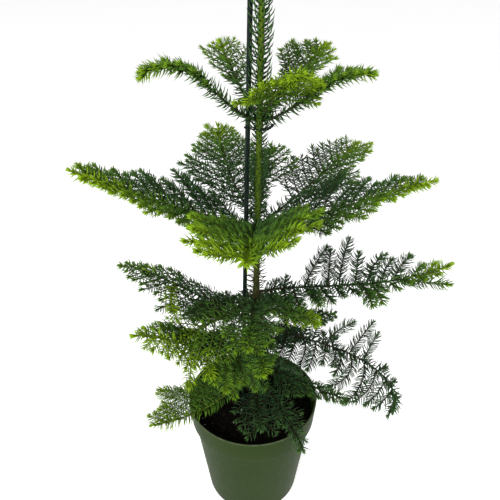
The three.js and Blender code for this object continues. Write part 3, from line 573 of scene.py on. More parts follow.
frond("skirt", "back_right", compass=62, length=118, rise=-18, mid=-12, end=-25, pairs=9, freshness=0.1)
frond("base", "front", height=162, compass=276, length=66, rise=6, mid=-9, end=-18, bare=0.3, pairs=5,
      span=38, tips=0.45, freshness=0.1, cover=0.4)
frond("base", "front_right", height=168, compass=305, length=102, rise=3, mid=-11, end=-57, bare=0.4,
      pairs=5, span=20, peak=0.5, droop=0.2, freshness=0.15, cover=0.4)
frond("upper", "back", height=371, compass=82, length=122, rise=14, mid=20, end=20, bare=0.38, reach=0.92,
      pairs=6, span=40, peak=0.5, foot=0.8, tips=0.3, taper=1, lift=10, droop=0, left=0.7, freshness=0.45,
      cover=0.65, needle=1)
frond("middle", "front", compass=264, length=76, rise=6, mid=-4, end=-16, bare=0.24, pairs=6, span=34,
      tips=0.4, lift=10, roll=4, freshness=0.55, cover=0.5)
print("Fronds:", len(FRONDS), "side shoots seen one by one:", sum(len(f["shoots"]) for f in FRONDS))

# %% Middle line of a frond
AXIS_STEPS = 24


def axis_of(f):
    """Points of the middle line, from steps of one length, and the heading of each step.

    A step's slope is rise (1-t)^2 + 2 mid t (1-t) + end t^2."""
    t = (np.arange(AXIS_STEPS) + 0.5) / AXIS_STEPS
    slope = np.radians(f["rise"] * (1 - t) ** 2 + 2 * f["mid"] * t * (1 - t) + f["end"] * t * t)
    compass = np.radians(f["compass"] + f["sweep"] * t)
    way = np.stack([np.cos(slope) * np.cos(compass), np.cos(slope) * np.sin(compass), np.sin(slope)], axis=1)
    start = rod_point(STEM, f["height"])
    return np.concatenate([start[None], start + np.cumsum(way * f["length"] / AXIS_STEPS, axis=0)]), way


def frame_at(f, axis, ways, t):
    """Place, direction, left side and upper side of the frond at a fraction of its length."""
    at = min(t * AXIS_STEPS, AXIS_STEPS - 0.001)
    k = int(at)
    point = axis[k] + (axis[k + 1] - axis[k]) * (at - k)
    compass = np.radians(f["compass"] + f["sweep"] * t)
    left = np.array([-np.sin(compass), np.cos(compass), 0.0])
    return point, ways[k], left, unit(np.cross(ways[k], left))


print("The first frond ends at", [round(float(v)) for v in axis_of(FRONDS[0])[0][-1]], "mm")

# %% [markdown]
# ## Side shoots
#
# Two rows of side shoots give a frond the outline of a feather. Placing them one by one would take
# days, and copies of one shoot look like a stamp, so each follows the rule with a small chance in its
# length and angles. A shoot that would run into the pot or a rod is bent away or cut shorter.

# %% Side shoots
SHOOT_STEPS = 6
SHORTEST_SHOOT = 9.0
LEAST_LENGTH, LENGTH_RANGE = 0.82, 0.36  # a shoot has 0.82 to 1.18 of the length that is due to it
LIFT_RANGE, SPLAY_RANGE = 12, 6  # degrees by which neighbouring shoots may differ
CLOSER_AT_TIP = 22  # degrees by which shoots lie closer to the frond at its tip than at its foot
TRIED_SHARES, TRIED_BENDS = (1, 0.75, 0.5), (0, 12, -12, 24, -24, 36)


def shoot_share(f, t):
    """What a side shoot at a fraction of the frond has of the longest one."""
    if t < f["peak"]:
        u = (t - f["bare"]) / (f["peak"] - f["bare"])
        return f["foot"] + (1 - f["foot"]) * u * (2 - u)
    u = (t - f["peak"]) / (f["reach"] - f["peak"])
    return 1 - (1 - f["tips"]) * u ** f["taper"]


def shoot_path(f, axis, ways, shoot):
    """A side shoot's line. It leaves at its splay and lift, bends to the frond's tip and sags."""
    point, way, left, above = frame_at(f, axis, ways, shoot["t"])
    splay, lift = np.radians(shoot["splay"]), np.radians(shoot["lift"])
    sideways = left * shoot["side"] * np.cos(lift) + above * np.sin(lift)
    start = way * np.cos(splay) + sideways * np.sin(splay)
    s = ((np.arange(SHOOT_STEPS) + 0.5) / SHOOT_STEPS)[:, None]
    steps = unit(start + way * shoot["bend"] * s - UP * shoot["droop"] * s) * shoot["length"] / SHOOT_STEPS
    return np.concatenate([point[None], point + np.cumsum(steps, axis=0)])


def shoots_of(f, seed):
    """The side shoots of a frond, left and right in turn, with their lengths and angles varied a little."""
    habit = {"droop": 0, "bend": f["bend"], "freshness": f["freshness"]}
    found = [{**habit, **dict(zip(SHOOT_KEYS, s))} for s in f["shoots"]]
    for k in range(f["pairs"]):
        for side, stagger, scale in ((1, 0.3, f["left"]), (-1, 0.7, f["right"])):
            t = f["bare"] + (f["reach"] - f["bare"]) * (k + stagger) / f["pairs"]
            vary = LEAST_LENGTH + LENGTH_RANGE * chance(seed + 0.37 * k, side)
            lift = f["lift"] + side * f["roll"] + LIFT_RANGE * (chance(seed + 1.7 * k, side + 3) - 0.5)
            splay = f["splay"] + side * f["skew"] - CLOSER_AT_TIP * t
            splay += SPLAY_RANGE * (chance(seed + 2.3 * k, side + 7) - 0.5)
            length = f["span"] * shoot_share(f, t) * scale * vary
            if length < SHORTEST_SHOOT / 3:
                continue
            length = max(SHORTEST_SHOOT, length)
            # fresher raises the age on one row of shoots and lowers it on the other: painted light and
            # painted shade over a small real difference in age
            fresh = f["freshness"] + side * f["fresher"] + f["fresh_tip"] * t**3
            shoot = dict(zip(SHOOT_KEYS, (t, side, length, splay, lift, fresh, f["bend"])))
            found.append({**shoot, "droop": f["droop"]})
    return found


def placed(f, axis, ways, shoot):
    """A side shoot, bent or cut shorter until it is off the pot and the rods, or None if it can't be."""
    for share in TRIED_SHARES:
        for bend in TRIED_BENDS:
            tried = {**shoot, "length": shoot["length"] * share, "lift": shoot["lift"] + bend}
            path = shoot_path(f, axis, ways, tried)
            if is_free(path, 2.0).all() and off_the_rods(path[2:], 1.0).all():
                return path
    return None


print("Side shoots of the first frond:", len(shoots_of(FRONDS[0], 0)))

# %% [markdown]
# ## The colour of age
#
# This year's growth is a bright yellow green, and old needles in the shade are a dark blue green. A
# needle's age follows from where it stands: near the frond's foot it is old, towards the tip of its
# shoot it is young, and the last few millimetres of every shoot are the freshest.

# %% Ages of the needles
def youth(freshness, t, s):
    """The age, from 0 for old to 1 for new, at s along a shoot that stands at t along the frond.

    It grows with t and with s, and once more over the last third of the shoot."""
    outer = 0.4 + 0.6 * ease(t, 0.0, 0.6)
    grown = 0.15 + 0.1 * freshness + 0.45 * t**1.5 + 0.3 * outer * s**1.5
    return np.clip(1.2 * freshness * grown + (0.1 + 0.14 * freshness) * outer * ease(s, 0.7, 1.0), 0, 1)


print("Ages along a young shoot:", youth(1, 0.5, np.linspace(0, 1, 5)).round(2).tolist())

# %% Growing a frond
AXIS_TWIG = {"radii": (1.25, 0.6), "sides": 7, "bare": 0.04}
SHOOT_TWIG = {"radii": (0.75, 0.42), "sides": 5, "bare": 0.05}
AXIS_TUFT = TUFT["count"] + 4
BARK_AGE = 0.8  # the bark's age over that of the needles on it
TONE_SCATTER = 0.035


def main_line(f, axis, draw):
    """The frond's own twig, and the coats of needles on it."""
    along = np.linspace(0, 1, len(axis))
    # half the painted side light also lightens the frond's own twig and needles
    fresh = f["freshness"] + abs(f["fresher"]) / 2

    def ages(s):
        return youth(fresh + f["fresh_tip"] * s**3, s, s)

    bark = np.maximum(ages(along) * BARK_AGE, f["rib"])
    twig = tube(axis, np.interp(along, [0, 1], AXIS_TWIG["radii"]), AXIS_TWIG["sides"], bark)
    size = (1 + f["needle"]) / 2
    cover = max(f["cover"], 1) / size
    kind = {**AXIS_COAT, "length": AXIS_COAT["length"] * size, "density": AXIS_COAT["density"] * cover}
    coat = coat_on(axis, kind, ages, draw, AXIS_TWIG["bare"])
    return twig, [coat, tuft_on(axis, kind, float(ages(1.0)), draw, AXIS_TUFT)]


def side_shoot(f, path, plane, shoot, draw):
    """A side shoot's twig, and the coats of needles on it. A young one has more needles, and finer."""
    t, young = shoot["t"], shoot["freshness"]
    bark = youth(young, t, np.linspace(0, 1, len(path)))
    twig = tube(path, np.linspace(*SHOOT_TWIG["radii"], len(path)), SHOOT_TWIG["sides"], bark)
    cover = f["cover"] / f["needle"] * (0.92 + 0.4 * min(young, 1))
    vigour = {"length": f["needle"], "girth": 1.14 - 0.16 * min(young, 1), "density": cover}
    kind = {key: value * vigour.get(key, 1) for key, value in SHOOT_COAT.items()}
    coat = coat_on(path, kind, lambda s: youth(young, t, s), draw, SHOOT_TWIG["bare"], plane)
    return twig, [coat, tuft_on(path, kind, float(youth(young, t, 1)), draw)]


def clear_coat(coat):
    """The needles whose middle and point stay out of the pot, the soil, the stem and the stake."""
    keep = np.ones(len(coat["root"]), bool)
    for share in (0.5, 1.0):
        lean = (coat["open"] + (coat["close"] - coat["open"]) * share / 2)[:, None]
        reach = (coat["length"] * share)[:, None]
        point = coat["root"] + reach * (coat["out"] * np.sin(lean) + coat["way"] * np.cos(lean))
        keep &= is_free(point, 0.6) & off_the_rods(point, 0.5)
    return picked(coat, keep)


def grow(f, seed):
    """A frond as a list of its twigs and the coat of all its needles."""
    draw = np.random.default_rng(100 + seed)
    axis, ways = axis_of(f)
    grown = [main_line(f, axis, draw)]
    for shoot in shoots_of(f, seed):
        path = placed(f, axis, ways, shoot)
        if path is not None:
            plane = unit(np.cross(frame_at(f, axis, ways, shoot["t"])[1], path[3] - path[0]))
            grown.append(side_shoot(f, path, plane, shoot, draw))
    coat = merged([coat for _, coats in grown for coat in coats])
    coat["tone"] = np.clip(coat["tone"] + draw.normal(0, TONE_SCATTER, len(coat["tone"])), 0.01, 0.99)
    return [twig for twig, _ in grown], clear_coat(coat)


print("Needles on the first frond:", len(grow(FRONDS[0], 0)[1]["root"]))

# %% [markdown]
# ## Finishes
#
# Each finish is a small tree of shader nodes round one Principled shader. Patterns read Object
# coordinates, so they stay put on the piece and keep their real scale. What is the same all over a
# surface is set on the shader itself.

# %% Node helpers
def finish(name, roughness, **fixed):
    """A new material, its node tree and its Principled shader, which holds what is the same all over."""
    material = bpy.data.materials.new(name)
    material.use_nodes = True
    shader = material.node_tree.nodes["Principled BSDF"]
    shader.inputs["Roughness"].default_value = roughness
    for socket, value in fixed.items():
        shader.inputs[socket.replace("_", " ")].default_value = value
    return material, material.node_tree, shader


def node(tree, kind, inputs=(), **settings):
    """A shader node. inputs pairs a socket's name or number with a value or with another node's output."""
    made = tree.nodes.new("ShaderNode" + kind)
    for key, value in settings.items():
        setattr(made, key, value)
    for socket, value in inputs:
        if isinstance(value, bpy.types.NodeSocket):
            tree.links.new(value, made.inputs[socket])
        else:
            made.inputs[socket].default_value = value
    return made


def calc(tree, operation, *values):
    """One step of arithmetic."""
    return node(tree, "Math", list(enumerate(values)), operation=operation).outputs[0]


def remap(tree, value, start, end, low=0.0, high=1.0):
    """A value carried in a straight line from the range start to end to the range low to high."""
    pairs = list(enumerate((value, start, end, low, high)))
    return node(tree, "MapRange", pairs).outputs[0]


def ramp(tree, factor, stops):
    """A colour ramp from (place, (red, green, blue)) stops in linear light."""
    made = node(tree, "ValToRGB", [("Fac", factor)])
    elements = made.color_ramp.elements
    while len(elements) < len(stops):
        elements.new(0.5)
    for element, (place, colour) in zip(elements, stops):
        element.position = place
        element.color = (*colour, 1.0)
    return made.outputs["Color"]


def blend(tree, factor, first, second, mode="MIX"):
    """A mix of two colours, by default a plain one."""
    pairs = [(0, factor), (6, first), (7, second)]
    return node(tree, "Mix", pairs, data_type="RGBA", blend_type=mode).outputs[2]


def place_on(tree):
    """Object coordinates: the place on the piece, in metres."""
    return node(tree, "TexCoord").outputs["Object"]


def height_on(tree):
    """The height above the ground, in metres."""
    return node(tree, "SeparateXYZ", [("Vector", place_on(tree))]).outputs["Z"]


def noise(tree, scale, detail, stretch=(1, 1, 1)):
    """Noise on Object coordinates, in repeats per metre, stretched along an axis where asked."""
    mapped = node(tree, "Mapping", [("Vector", place_on(tree)), ("Scale", stretch)]).outputs["Vector"]
    return node(tree, "TexNoise", [("Vector", mapped), ("Scale", scale), ("Detail", detail)]).outputs["Fac"]


def bump(tree, shader, height, distance):
    """Fine relief: the surface is shaded as if the height pattern stood that far out, in metres."""
    made = node(tree, "Bump", [("Height", height), ("Distance", distance), ("Strength", 1.0)])
    tree.links.new(made.outputs["Normal"], shader.inputs["Normal"])


# %% [markdown]
# ## The needles' finish
#
# Needles are waxy, and no two are quite the same green. Each is drawn darker at its foot and lighter
# towards its point, a painted shade among the crowded needles. A material for each age would leave hard
# steps between them. This one reads the chart: the age picks a colour from a ramp, the place along the
# needle adds that painted shade, and its row darkens or brightens it.

# %% Foliage finish
NEEDLE_AGES = [
    (0.0, (0.020, 0.052, 0.020)), (0.2, (0.044, 0.106, 0.027)), (0.45, (0.078, 0.176, 0.020)),
    (0.7, (0.125, 0.245, 0.012)), (1.0, (0.245, 0.400, 0.010)),
]
TWIG_AGES = [
    (0.0, (0.022, 0.018, 0.010)), (0.3, (0.035, 0.045, 0.014)), (0.7, (0.11, 0.17, 0.02)),
    (1.0, (0.2, 0.32, 0.02)),
]
DRY_NEEDLE = [(0.0, (0.030, 0.024, 0.010)), (1.0, (0.075, 0.052, 0.022))]  # from its foot to its point


def foliage_finish(name, roughness):
    """Colour from the chart: age across it, and up it a needle's length in rows of live and dry ones.

    A live needle's colour is that of its age, times 0.5 at the foot to 1.25 at the point, a painted
    shade towards the foot, times the brightness of its row. Bark has a colour for its age alone."""
    material, tree, shader = finish(name, roughness, Specular_IOR_Level=0.1)
    chart = node(tree, "UVMap", uv_map=CHART).outputs["UV"]
    split = node(tree, "SeparateXYZ", [("Vector", chart)])
    age = split.outputs["X"]
    up = calc(tree, "MULTIPLY", split.outputs["Y"], float(ROWS))
    row, along = calc(tree, "FLOOR", up), calc(tree, "FRACT", up)
    # darker towards the needle's foot: painted shade among the crowded needles
    painted_foot_shade = calc(tree, "MULTIPLY_ADD", along, 0.75, 0.5)
    level = calc(tree, "MULTIPLY", painted_foot_shade, calc(tree, "MULTIPLY_ADD", row, 0.2, 0.82))
    shade = node(tree, "CombineColor", [(0, level), (1, level), (2, level)]).outputs[0]
    live = blend(tree, 1.0, ramp(tree, age, NEEDLE_AGES), shade, "MULTIPLY")
    is_twig = calc(tree, "GREATER_THAN", row, BARK_ROW - 0.5)
    is_dry = calc(tree, "GREATER_THAN", row, DRY_ROW - 0.5)
    fresh = blend(tree, is_twig, live, ramp(tree, age, TWIG_AGES))
    colour = blend(tree, is_dry, fresh, ramp(tree, along, DRY_NEEDLE))
    tree.links.new(colour, shader.inputs["Base Color"])
    return material


foliage = foliage_finish("waxy_needles", 0.5)
print("Finish:", foliage.name, "from", len(foliage.node_tree.nodes), "nodes")

# %% [markdown]
# ## The fronds
#
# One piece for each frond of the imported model, which it stands for. The twigs are tubes of five to
# seven sides, and the needles of a frond are one array.

# %% Fronds
needle_count = 0
for seed, f in enumerate(FRONDS):
    twigs, coat = grow(f, seed)
    part = joined([*twigs, needles(coat)])
    node_name = f"{f['tier']}_frond_{f['name']}"
    piece(f"{f['tier']}_{f['name']}_foliage", part, foliage, [node_name])
    needle_count += len(coat["root"])
print("Needles on the fronds:", needle_count)

# %% [markdown]
# ## The stem
#
# The stem is green where it is young and brown where it is old. Each needle runs down it as a low
# cushion, so even the smooth green part has a pattern of long lozenges. It could be carved with a
# displacement texture. A formula on the ring's corners gives the same relief and stays exact.

# %% Stem wood
STEM_SIDES, STEM_STEP = 18, 1.5
KNOTS = (466, 364, 282, 249, 198, 165)  # the heights of the tiers, where the stem is a little stouter


def stem_wood():
    """A tube whose radius rises and falls by two crossed spirals, cos(5a + z/1.9) + cos(3a - z/2.4).

    a is the turn and z the height. The relief is deeper on the old wood and ends at the soil."""
    height = np.arange(STEM["root"], STEM["head"][2] + 0.1, STEM_STEP)
    turn = np.arange(STEM_SIDES) / STEM_SIDES * 2 * np.pi
    spiral = np.cos(5 * turn + height[:, None] / 1.9) + np.cos(3 * turn - height[:, None] / 2.4)
    knots = sum(0.5 * np.exp(-(((height - knot) / 5) ** 2)) for knot in KNOTS)
    relief = 1 + (0.05 + 0.03 * ease(height, 320, 250))[:, None] * spiral * ease(height, 112, 124)[:, None]
    radii = (stem_radius(height) + knots)[:, None] * relief
    return tube(rod_point(STEM, height), radii, STEM_SIDES, 0.6)


BARK_COLOURS = [
    (0.0, (0.020, 0.014, 0.008)), (0.3, (0.030, 0.024, 0.010)), (0.42, (0.045, 0.055, 0.010)),
    (0.55, (0.056, 0.098, 0.005)), (1.0, (0.088, 0.155, 0.005)),
]


def stem_finish():
    """Brown bark that turns green with height, in a ragged border, with a fine lengthways grain."""
    material, tree, shader = finish("stem_bark", 0.6, Specular_IOR_Level=0.15)
    at = calc(tree, "MULTIPLY_ADD", noise(tree, 160, 4, (1, 1, 0.3)), 0.05, height_on(tree))
    colour = ramp(tree, remap(tree, at, 0.14, 0.60), BARK_COLOURS)
    streaks = noise(tree, 900, 3, (1, 1, 0.12))
    shade = ramp(tree, streaks, [(0.25, (0.62, 0.62, 0.62)), (0.75, (1.25, 1.25, 1.25))])
    tree.links.new(blend(tree, 1.0, colour, shade, "MULTIPLY"), shader.inputs["Base Color"])
    bump(tree, shader, streaks, 0.0004)
    return material


piece("stem_wood", stem_wood(), stem_finish(), ["stem"])

# %% [markdown]
# ## Needles on the stem
#
# The leader wears long needles that sweep upwards. Below the crown they are shorter, and on the old
# wood many are dry and brown. The stem needs the same coats as the shoots, only all round, and with
# three rings a needle, because here each one is seen against the light.

# %% Stem needles
LEADER_COAT = {"density": 1.85, "length": 12.5, "girth": 0.82, "open": 78, "close": 8}
GREEN_COAT = {"density": 2.2, "length": 10.0, "girth": 0.62, "open": 78, "close": 20}
DRY_COAT = {"density": 1.8, "length": 10.5, "girth": 0.6, "open": 86, "close": 62}
LEADER_FROM, GREEN_FROM, DRY_FROM = 456.0, 318.0, 150.0
DRY_SHARE = 0.55
LEADER_TUFT = 14


def stem_path(low, high):
    """Forty points up the middle of the stem, from one height to another."""
    return rod_point(STEM, np.linspace(low, high, 40))


def stem_needles():
    """The leader's coat, the green one, the dry one, moved out to the bark, and the tuft on top."""
    draw = np.random.default_rng(7)
    top = stem_path(LEADER_FROM, STEM["head"][2])
    leader = coat_on(top, LEADER_COAT, lambda s: 0.1 + 0.16 * s, draw)
    green = coat_on(stem_path(GREEN_FROM, LEADER_FROM), GREEN_COAT, lambda s: 0.08 + 0.04 * s, draw)
    dry = coat_on(stem_path(DRY_FROM, GREEN_FROM), DRY_COAT, lambda s: 0.1 + 0 * s, draw)
    dry["row"][draw.random(len(dry["row"])) < DRY_SHARE] = DRY_ROW
    tuft = tuft_on(top, LEADER_COAT, 0.8, draw, LEADER_TUFT)
    coat = merged([leader, green, dry])
    coat["root"] = coat["root"] + coat["out"] * (float(stem_radius(400.0)) - 0.2)
    coat = merged([coat, tuft])
    return picked(coat, off_the_rods(coat["root"] + coat["out"] * 5, 0.5))


stem_coat = stem_needles()
piece("stem_needles", needles(stem_coat, 3), foliage, ())
print("Needles on the stem:", len(stem_coat["root"]))

# %% [markdown]
# ## The stake
#
# The stake is a steel rod in a dark green plastic coat, with a rounded end. A cylinder with a Bevel
# would give that too, but the same tube as for the twigs also follows its slant, and takes rings
# that are pressed into the coat.

# %% Stake
DOME = 2.3  # the height of its rounded end, which is the rod's radius
RING_DEPTH, RING_SPACING = 0.012, 12


def stake_shape():
    """A tube with low rings pressed into its coat, narrowed to a dome at the top."""
    low, high = STAKE["foot"][2], STAKE["head"][2]
    rounding = high - DOME * (1 - np.sin(np.linspace(0.1, 1.45, 6)))
    height = np.concatenate([np.arange(low, high - 2.5, 2.0), rounding])
    rings = 1 + RING_DEPTH * np.cos(height * 2 * np.pi / RING_SPACING)
    dome = np.sqrt(np.clip(1 - ((height - (high - DOME)) / (DOME + 0.02)) ** 2, 0.02, 1))
    radii = STAKE["radius"] * rings * np.where(height > high - DOME, dome, 1)
    return tube(rod_point(STAKE, height), radii, 20, 0.5)


def coated_finish(name, colour, pale, roughness):
    """Dark moulded plastic with slightly lighter long streaks: uneven plastic, and in part a painted
    highlight along the piece.
    """
    material, tree, shader = finish(name, roughness, Specular_IOR_Level=0.15)
    streaks = noise(tree, 500, 4, (1, 1, 0.06))
    # the lighter lengthways streaks are in part a painted highlight along the piece
    tree.links.new(ramp(tree, streaks, [(0.35, colour), (0.75, pale)]), shader.inputs["Base Color"])
    uneven = remap(tree, streaks, 0, 1, roughness - 0.08, roughness + 0.15)
    tree.links.new(uneven, shader.inputs["Roughness"])
    bump(tree, shader, streaks, 0.00015)
    return material


# the lighter streak colour is in part a painted highlight
stake_coat = coated_finish("stake_coat", (0.003, 0.008, 0.006), (0.010, 0.020, 0.016), 0.32)
piece("plant_stake", stake_shape(), stake_coat, ["stake"])

# %% [markdown]
# ## The tie
#
# A soft wire in dark plastic goes once round stem and stake, and is twisted into a tail. A curve
# object with a round bevel is the usual way. Here its line is worked out from the two rods, so that
# it touches both, and the same tube carries it.

# %% Tie
def tie_shape():
    """A loop round both rods, and a tail of two strands that twist round each other.

    The loop is the outer one of two circles, one round each rod, seen from between them."""
    stem, stake = rod_point(STEM, TIE["height"]), rod_point(STAKE, TIE["height"])
    reach = 0.3 + TIE["radius"]
    turn = np.linspace(0, 2 * np.pi, 49)
    out = np.stack([np.cos(turn), np.sin(turn), 0 * turn], axis=1)
    on_stem = stem + out * (stem_radius(TIE["height"]) + reach)
    on_stake = stake + out * (STAKE["radius"] + reach)
    outer = (on_stem * out).sum(1) > (on_stake * out).sum(1)
    loop = np.where(outer[:, None], on_stem, on_stake)
    loop[:, 2] += 0.9 * np.sin(turn / 2)
    s = np.linspace(0, 1, 40)
    foot = stem + np.array([float(stem_radius(TIE["height"])) + reach - 0.3, -1, 0.4])
    sag = UP * 1.5 * np.sin(s * np.pi)[:, None]
    centre = foot + s[:, None] * np.array([TIE["tail"], -2, 5.0]) - sag
    twist = s * 2 * np.pi * 2.5
    wobble = np.stack([0 * s, np.cos(twist), np.sin(twist)], axis=1) * 0.8
    strands = [tube(centre + way * wobble, 0.85, 8, 0.5) for way in (1, -1)]
    return joined([tube(loop, TIE["radius"], 8, 0.5), *strands])


# the lighter streak colour is in part a painted highlight
tie_coat = coated_finish("tie_coat", (0.006, 0.010, 0.008), (0.02, 0.028, 0.022), 0.45)
piece("twist_tie", tie_shape(), tie_coat, ["tie"])

# %% [markdown]
# ## The pot
#
# An injection-moulded nursery pot is thin, tapered and plain, with a deep band round its rim that
# stiffens it. It is turned from one outline with rounded corners, and its drain holes are cut with a
# Boolean modifier, which is then applied so that no cutter is left in the scene.

# %% Pot shape
POT_SIDES = 192


def pot_shape():
    """The pot's section, out along its underside, up its wall and back down the inside, turned."""
    inner = POT["wall"] - POT_WALL
    outline = rounded([
        (0, 1.2), (POT["base"] - 9, 1.2), (POT["base"] - 7, 0), (POT["base"], 0),
        (POT["wall"], POT["band_foot"]), (POT["band"] + 0.1, POT["band_foot"]),
        (POT["rim"], POT["height"]), (POT["rim"] - POT_WALL, POT["height"]),
        (inner + BAND_STEP, POT["band_foot"] + 2), (inner, POT["band_foot"] - 2),
        (POT["base"] - POT_WALL, POT_FLOOR), (0, POT_FLOOR),
    ], 1.6, 6)
    return turned(outline, POT_SIDES)


print("Points in the pot's mesh:", len(pot_shape()[0]))

# %% [markdown]
# ## The pot's finish
#
# Matte plastic is never quite even. Soft clouds of colour, faint rings from the mould, lighter
# patches along the top edge of the rim and a little dust come from noise at four scales, all on Object
# coordinates.

# %% Sage plastic
def pot_finish():
    """Matte sage plastic: soft clouds of colour, faint moulding rings and lighter patches on the rim's top
    edge.
    """
    material, tree, shader = finish("sage_plastic", 0.5, Specular_IOR_Level=0.06)
    clouds = noise(tree, 14, 4)
    colour = ramp(tree, clouds, [(0.3, (0.016, 0.033, 0.004)), (0.7, (0.021, 0.040, 0.006))])
    scuffs = noise(tree, 220, 5, (1, 1, 0.35))
    # lighter in patches over the top 1.5 mm of the rim
    lighter_rim_top = calc(tree, "MULTIPLY", remap(tree, height_on(tree), 0.1385, 0.140), scuffs)
    colour = blend(tree, lighter_rim_top, colour, (0.14, 0.17, 0.10, 1))
    dust = ramp(tree, scuffs, [(0.6, (0, 0, 0)), (0.85, (0.15, 0.15, 0.15))])
    colour = blend(tree, dust, colour, (0.10, 0.12, 0.075, 1))
    tree.links.new(colour, shader.inputs["Base Color"])
    tree.links.new(remap(tree, scuffs, 0, 1, 0.42, 0.62), shader.inputs["Roughness"])
    rings = noise(tree, 60, 3, (0.05, 0.05, 6))
    bump(tree, shader, calc(tree, "MULTIPLY_ADD", scuffs, 0.3, rings), 0.00012)
    return material


sage = pot_finish()
print("Finish:", sage.name, "from", len(sage.node_tree.nodes), "nodes")

# %% Pot with its drain holes
def drain_cutter():
    """Six short rods through the floor of the pot, on one circle."""
    rods = []
    for k in range(DRAIN["count"]):
        angle = (k + 0.5) / DRAIN["count"] * 2 * np.pi
        at = np.array([np.cos(angle), np.sin(angle), 0]) * DRAIN["circle"]
        path = at + np.array([[0, 0, -2.0], [0, 0, 1.0], [0, 0, POT_FLOOR + 2.0]])
        rods.append(tube(path, DRAIN["radius"], 24, 0.5))
    return joined(rods)


pot = piece("nursery_pot", pot_shape(), sage, ["pot"])
cutter = mesh_object("drain_cutter", drain_cutter(), sage)
cut = pot.modifiers.new("drain holes", "BOOLEAN")
cut.operation, cut.solver, cut.object = "DIFFERENCE", "EXACT", cutter
bpy.context.view_layer.update()
holed = bpy.data.meshes.new_from_object(pot.evaluated_get(bpy.context.evaluated_depsgraph_get()))
pot.modifiers.clear()
pot.data = holed
bpy.data.objects.remove(cutter)
print("Faces of the pot with its holes:", len(pot.data.polygons))

# %% [markdown]
# ## The potting mix
#
# Shredded bark and peat, dark when damp, and darkened further to nearly black as painted shade in
# the pot under the fronds. The surface is a disc of rings raised by grain at three scales, and loose
# crumbs lie on it. A crumb is a squashed icosahedron with its corners pushed in and out, which reads
# as a bark chip from any side with only twenty faces.

# %% Body of the potting mix
SOIL_SIDES = 120
RING_RADII = np.concatenate([np.arange(68.6, 2, -1.4), [1.0]])
GRAINS = ((2.2, 6.0, 3), (1.5, 2.8, 11), (0.8, 1.5, 23))  # the height, size and seed of each scale


def soil_shape():
    """A turned body whose top rings follow the mound and three scales of grain."""
    inner, under = POT["wall"] - POT_WALL, POT_FLOOR + 0.3
    outline = [(0, under), (POT["base"] - POT_WALL - 0.6, under), (inner - 0.8, POT["band_foot"] - 2)]
    outline += [(inner + 0.1, SOIL_TOP - 3)] + [(r, SOIL_TOP) for r in RING_RADII] + [(0, SOIL_TOP)]
    points, faces, chart = turned(outline, SOIL_SIDES)
    top = points[:, 2] > SOIL_TOP - 0.5
    x, y = points[top, 0], points[top, 1]
    rough = sum(height * grain(x, y, size, seed) for height, size, seed in GRAINS) - 2.6
    points[top, 2] = soil_height(x, y) + rough
    return points, faces, chart


print("Points in the potting mix:", len(soil_shape()[0]))

# %% Crumbs
CRUMB_CIRCLE = 64.0  # crumbs lie within this distance of the pot's axis
DENT, TILT, FREE_SHARE = 0.28, 0.25, 0.3


def icosahedron():
    """Twelve corners from the golden ratio, and twenty triangles: all triples of near neighbours."""
    golden = (1 + 5**0.5) / 2
    base = np.array([(s, t * golden, 0) for s in (-1, 1) for t in (-1, 1)])
    corners = unit(np.concatenate([np.roll(base, shift, axis=1) for shift in range(3)]))
    near = np.linalg.norm(corners[:, None] - corners[None], axis=2) < 1.2
    i, j, k = np.nonzero(near[:, :, None] & near[:, None] & near[None])
    faces = np.stack([i, j, k], axis=1)[(i < j) & (j < k)]
    a, b, c = (corners[faces[:, corner]] for corner in range(3))
    inward = (np.cross(b - a, c - a) * (a + b + c)).sum(1) < 0
    faces[inward] = faces[inward][:, ::-1]
    return corners, faces


def crumbs(count, smallest, largest, squash, draw):
    """Loose bits on the soil: squashed, dented, turned at random and sunk to about a third.

    Some are turned freely, and the others only round the upright, with a slight tilt."""
    corners, faces = icosahedron()
    away, angle = CRUMB_CIRCLE * np.sqrt(draw.random(count)), draw.random(count) * 2 * np.pi
    x, y = away * np.cos(angle), away * np.sin(angle)
    size = smallest + (largest - smallest) * draw.random(count) ** 2
    dents = 1 + DENT * (draw.random((count, 12, 1)) - 0.5) * 2
    forms = corners[None] * dents * size[:, None, None] * np.array(squash) / 2
    spin = np.linalg.qr(draw.normal(size=(count, 3, 3)))[0]
    spin *= np.sign(np.linalg.det(spin))[:, None, None]
    tilt = draw.normal(0, TILT, (count, 2))
    heading = draw.random(count) * 2 * np.pi
    c, s, none = np.cos(heading), np.sin(heading), np.zeros(count)
    flat = np.stack([c, -s, none, s, c, none, *tilt.T, none + 1], axis=1).reshape(-1, 3, 3)
    turns = np.where(draw.random(count)[:, None, None] < FREE_SHARE, spin, flat)
    forms = np.einsum("nij,nkj->nki", turns, forms)
    seat = np.stack([x, y, soil_height(x, y) + size * squash[2] * 0.12 + 0.2], axis=1)
    points = (forms + seat[:, None]).reshape(-1, 3)
    all_faces = faces[None] + (np.arange(count) * 12)[:, None, None]
    return points, all_faces.reshape(-1, 3), None


print("Faces of a crumb:", len(icosahedron()[1]))

# %% Finishes of the potting mix
def mix_finish(name, dark, pale, scale):
    """Damp bark and peat: blotches from dark to pale, dull, with a rough grain."""
    material, tree, shader = finish(name, 0.85, Specular_IOR_Level=0.08)
    blotches = noise(tree, scale, 5)
    tree.links.new(ramp(tree, blotches, [(0.35, dark), (0.75, pale)]), shader.inputs["Base Color"])
    fine = noise(tree, scale * 5, 4)
    tree.links.new(remap(tree, fine, 0, 1, 0.6, 1.0), shader.inputs["Roughness"])
    bump(tree, shader, fine, 0.0006)
    return material


draw = np.random.default_rng(11)
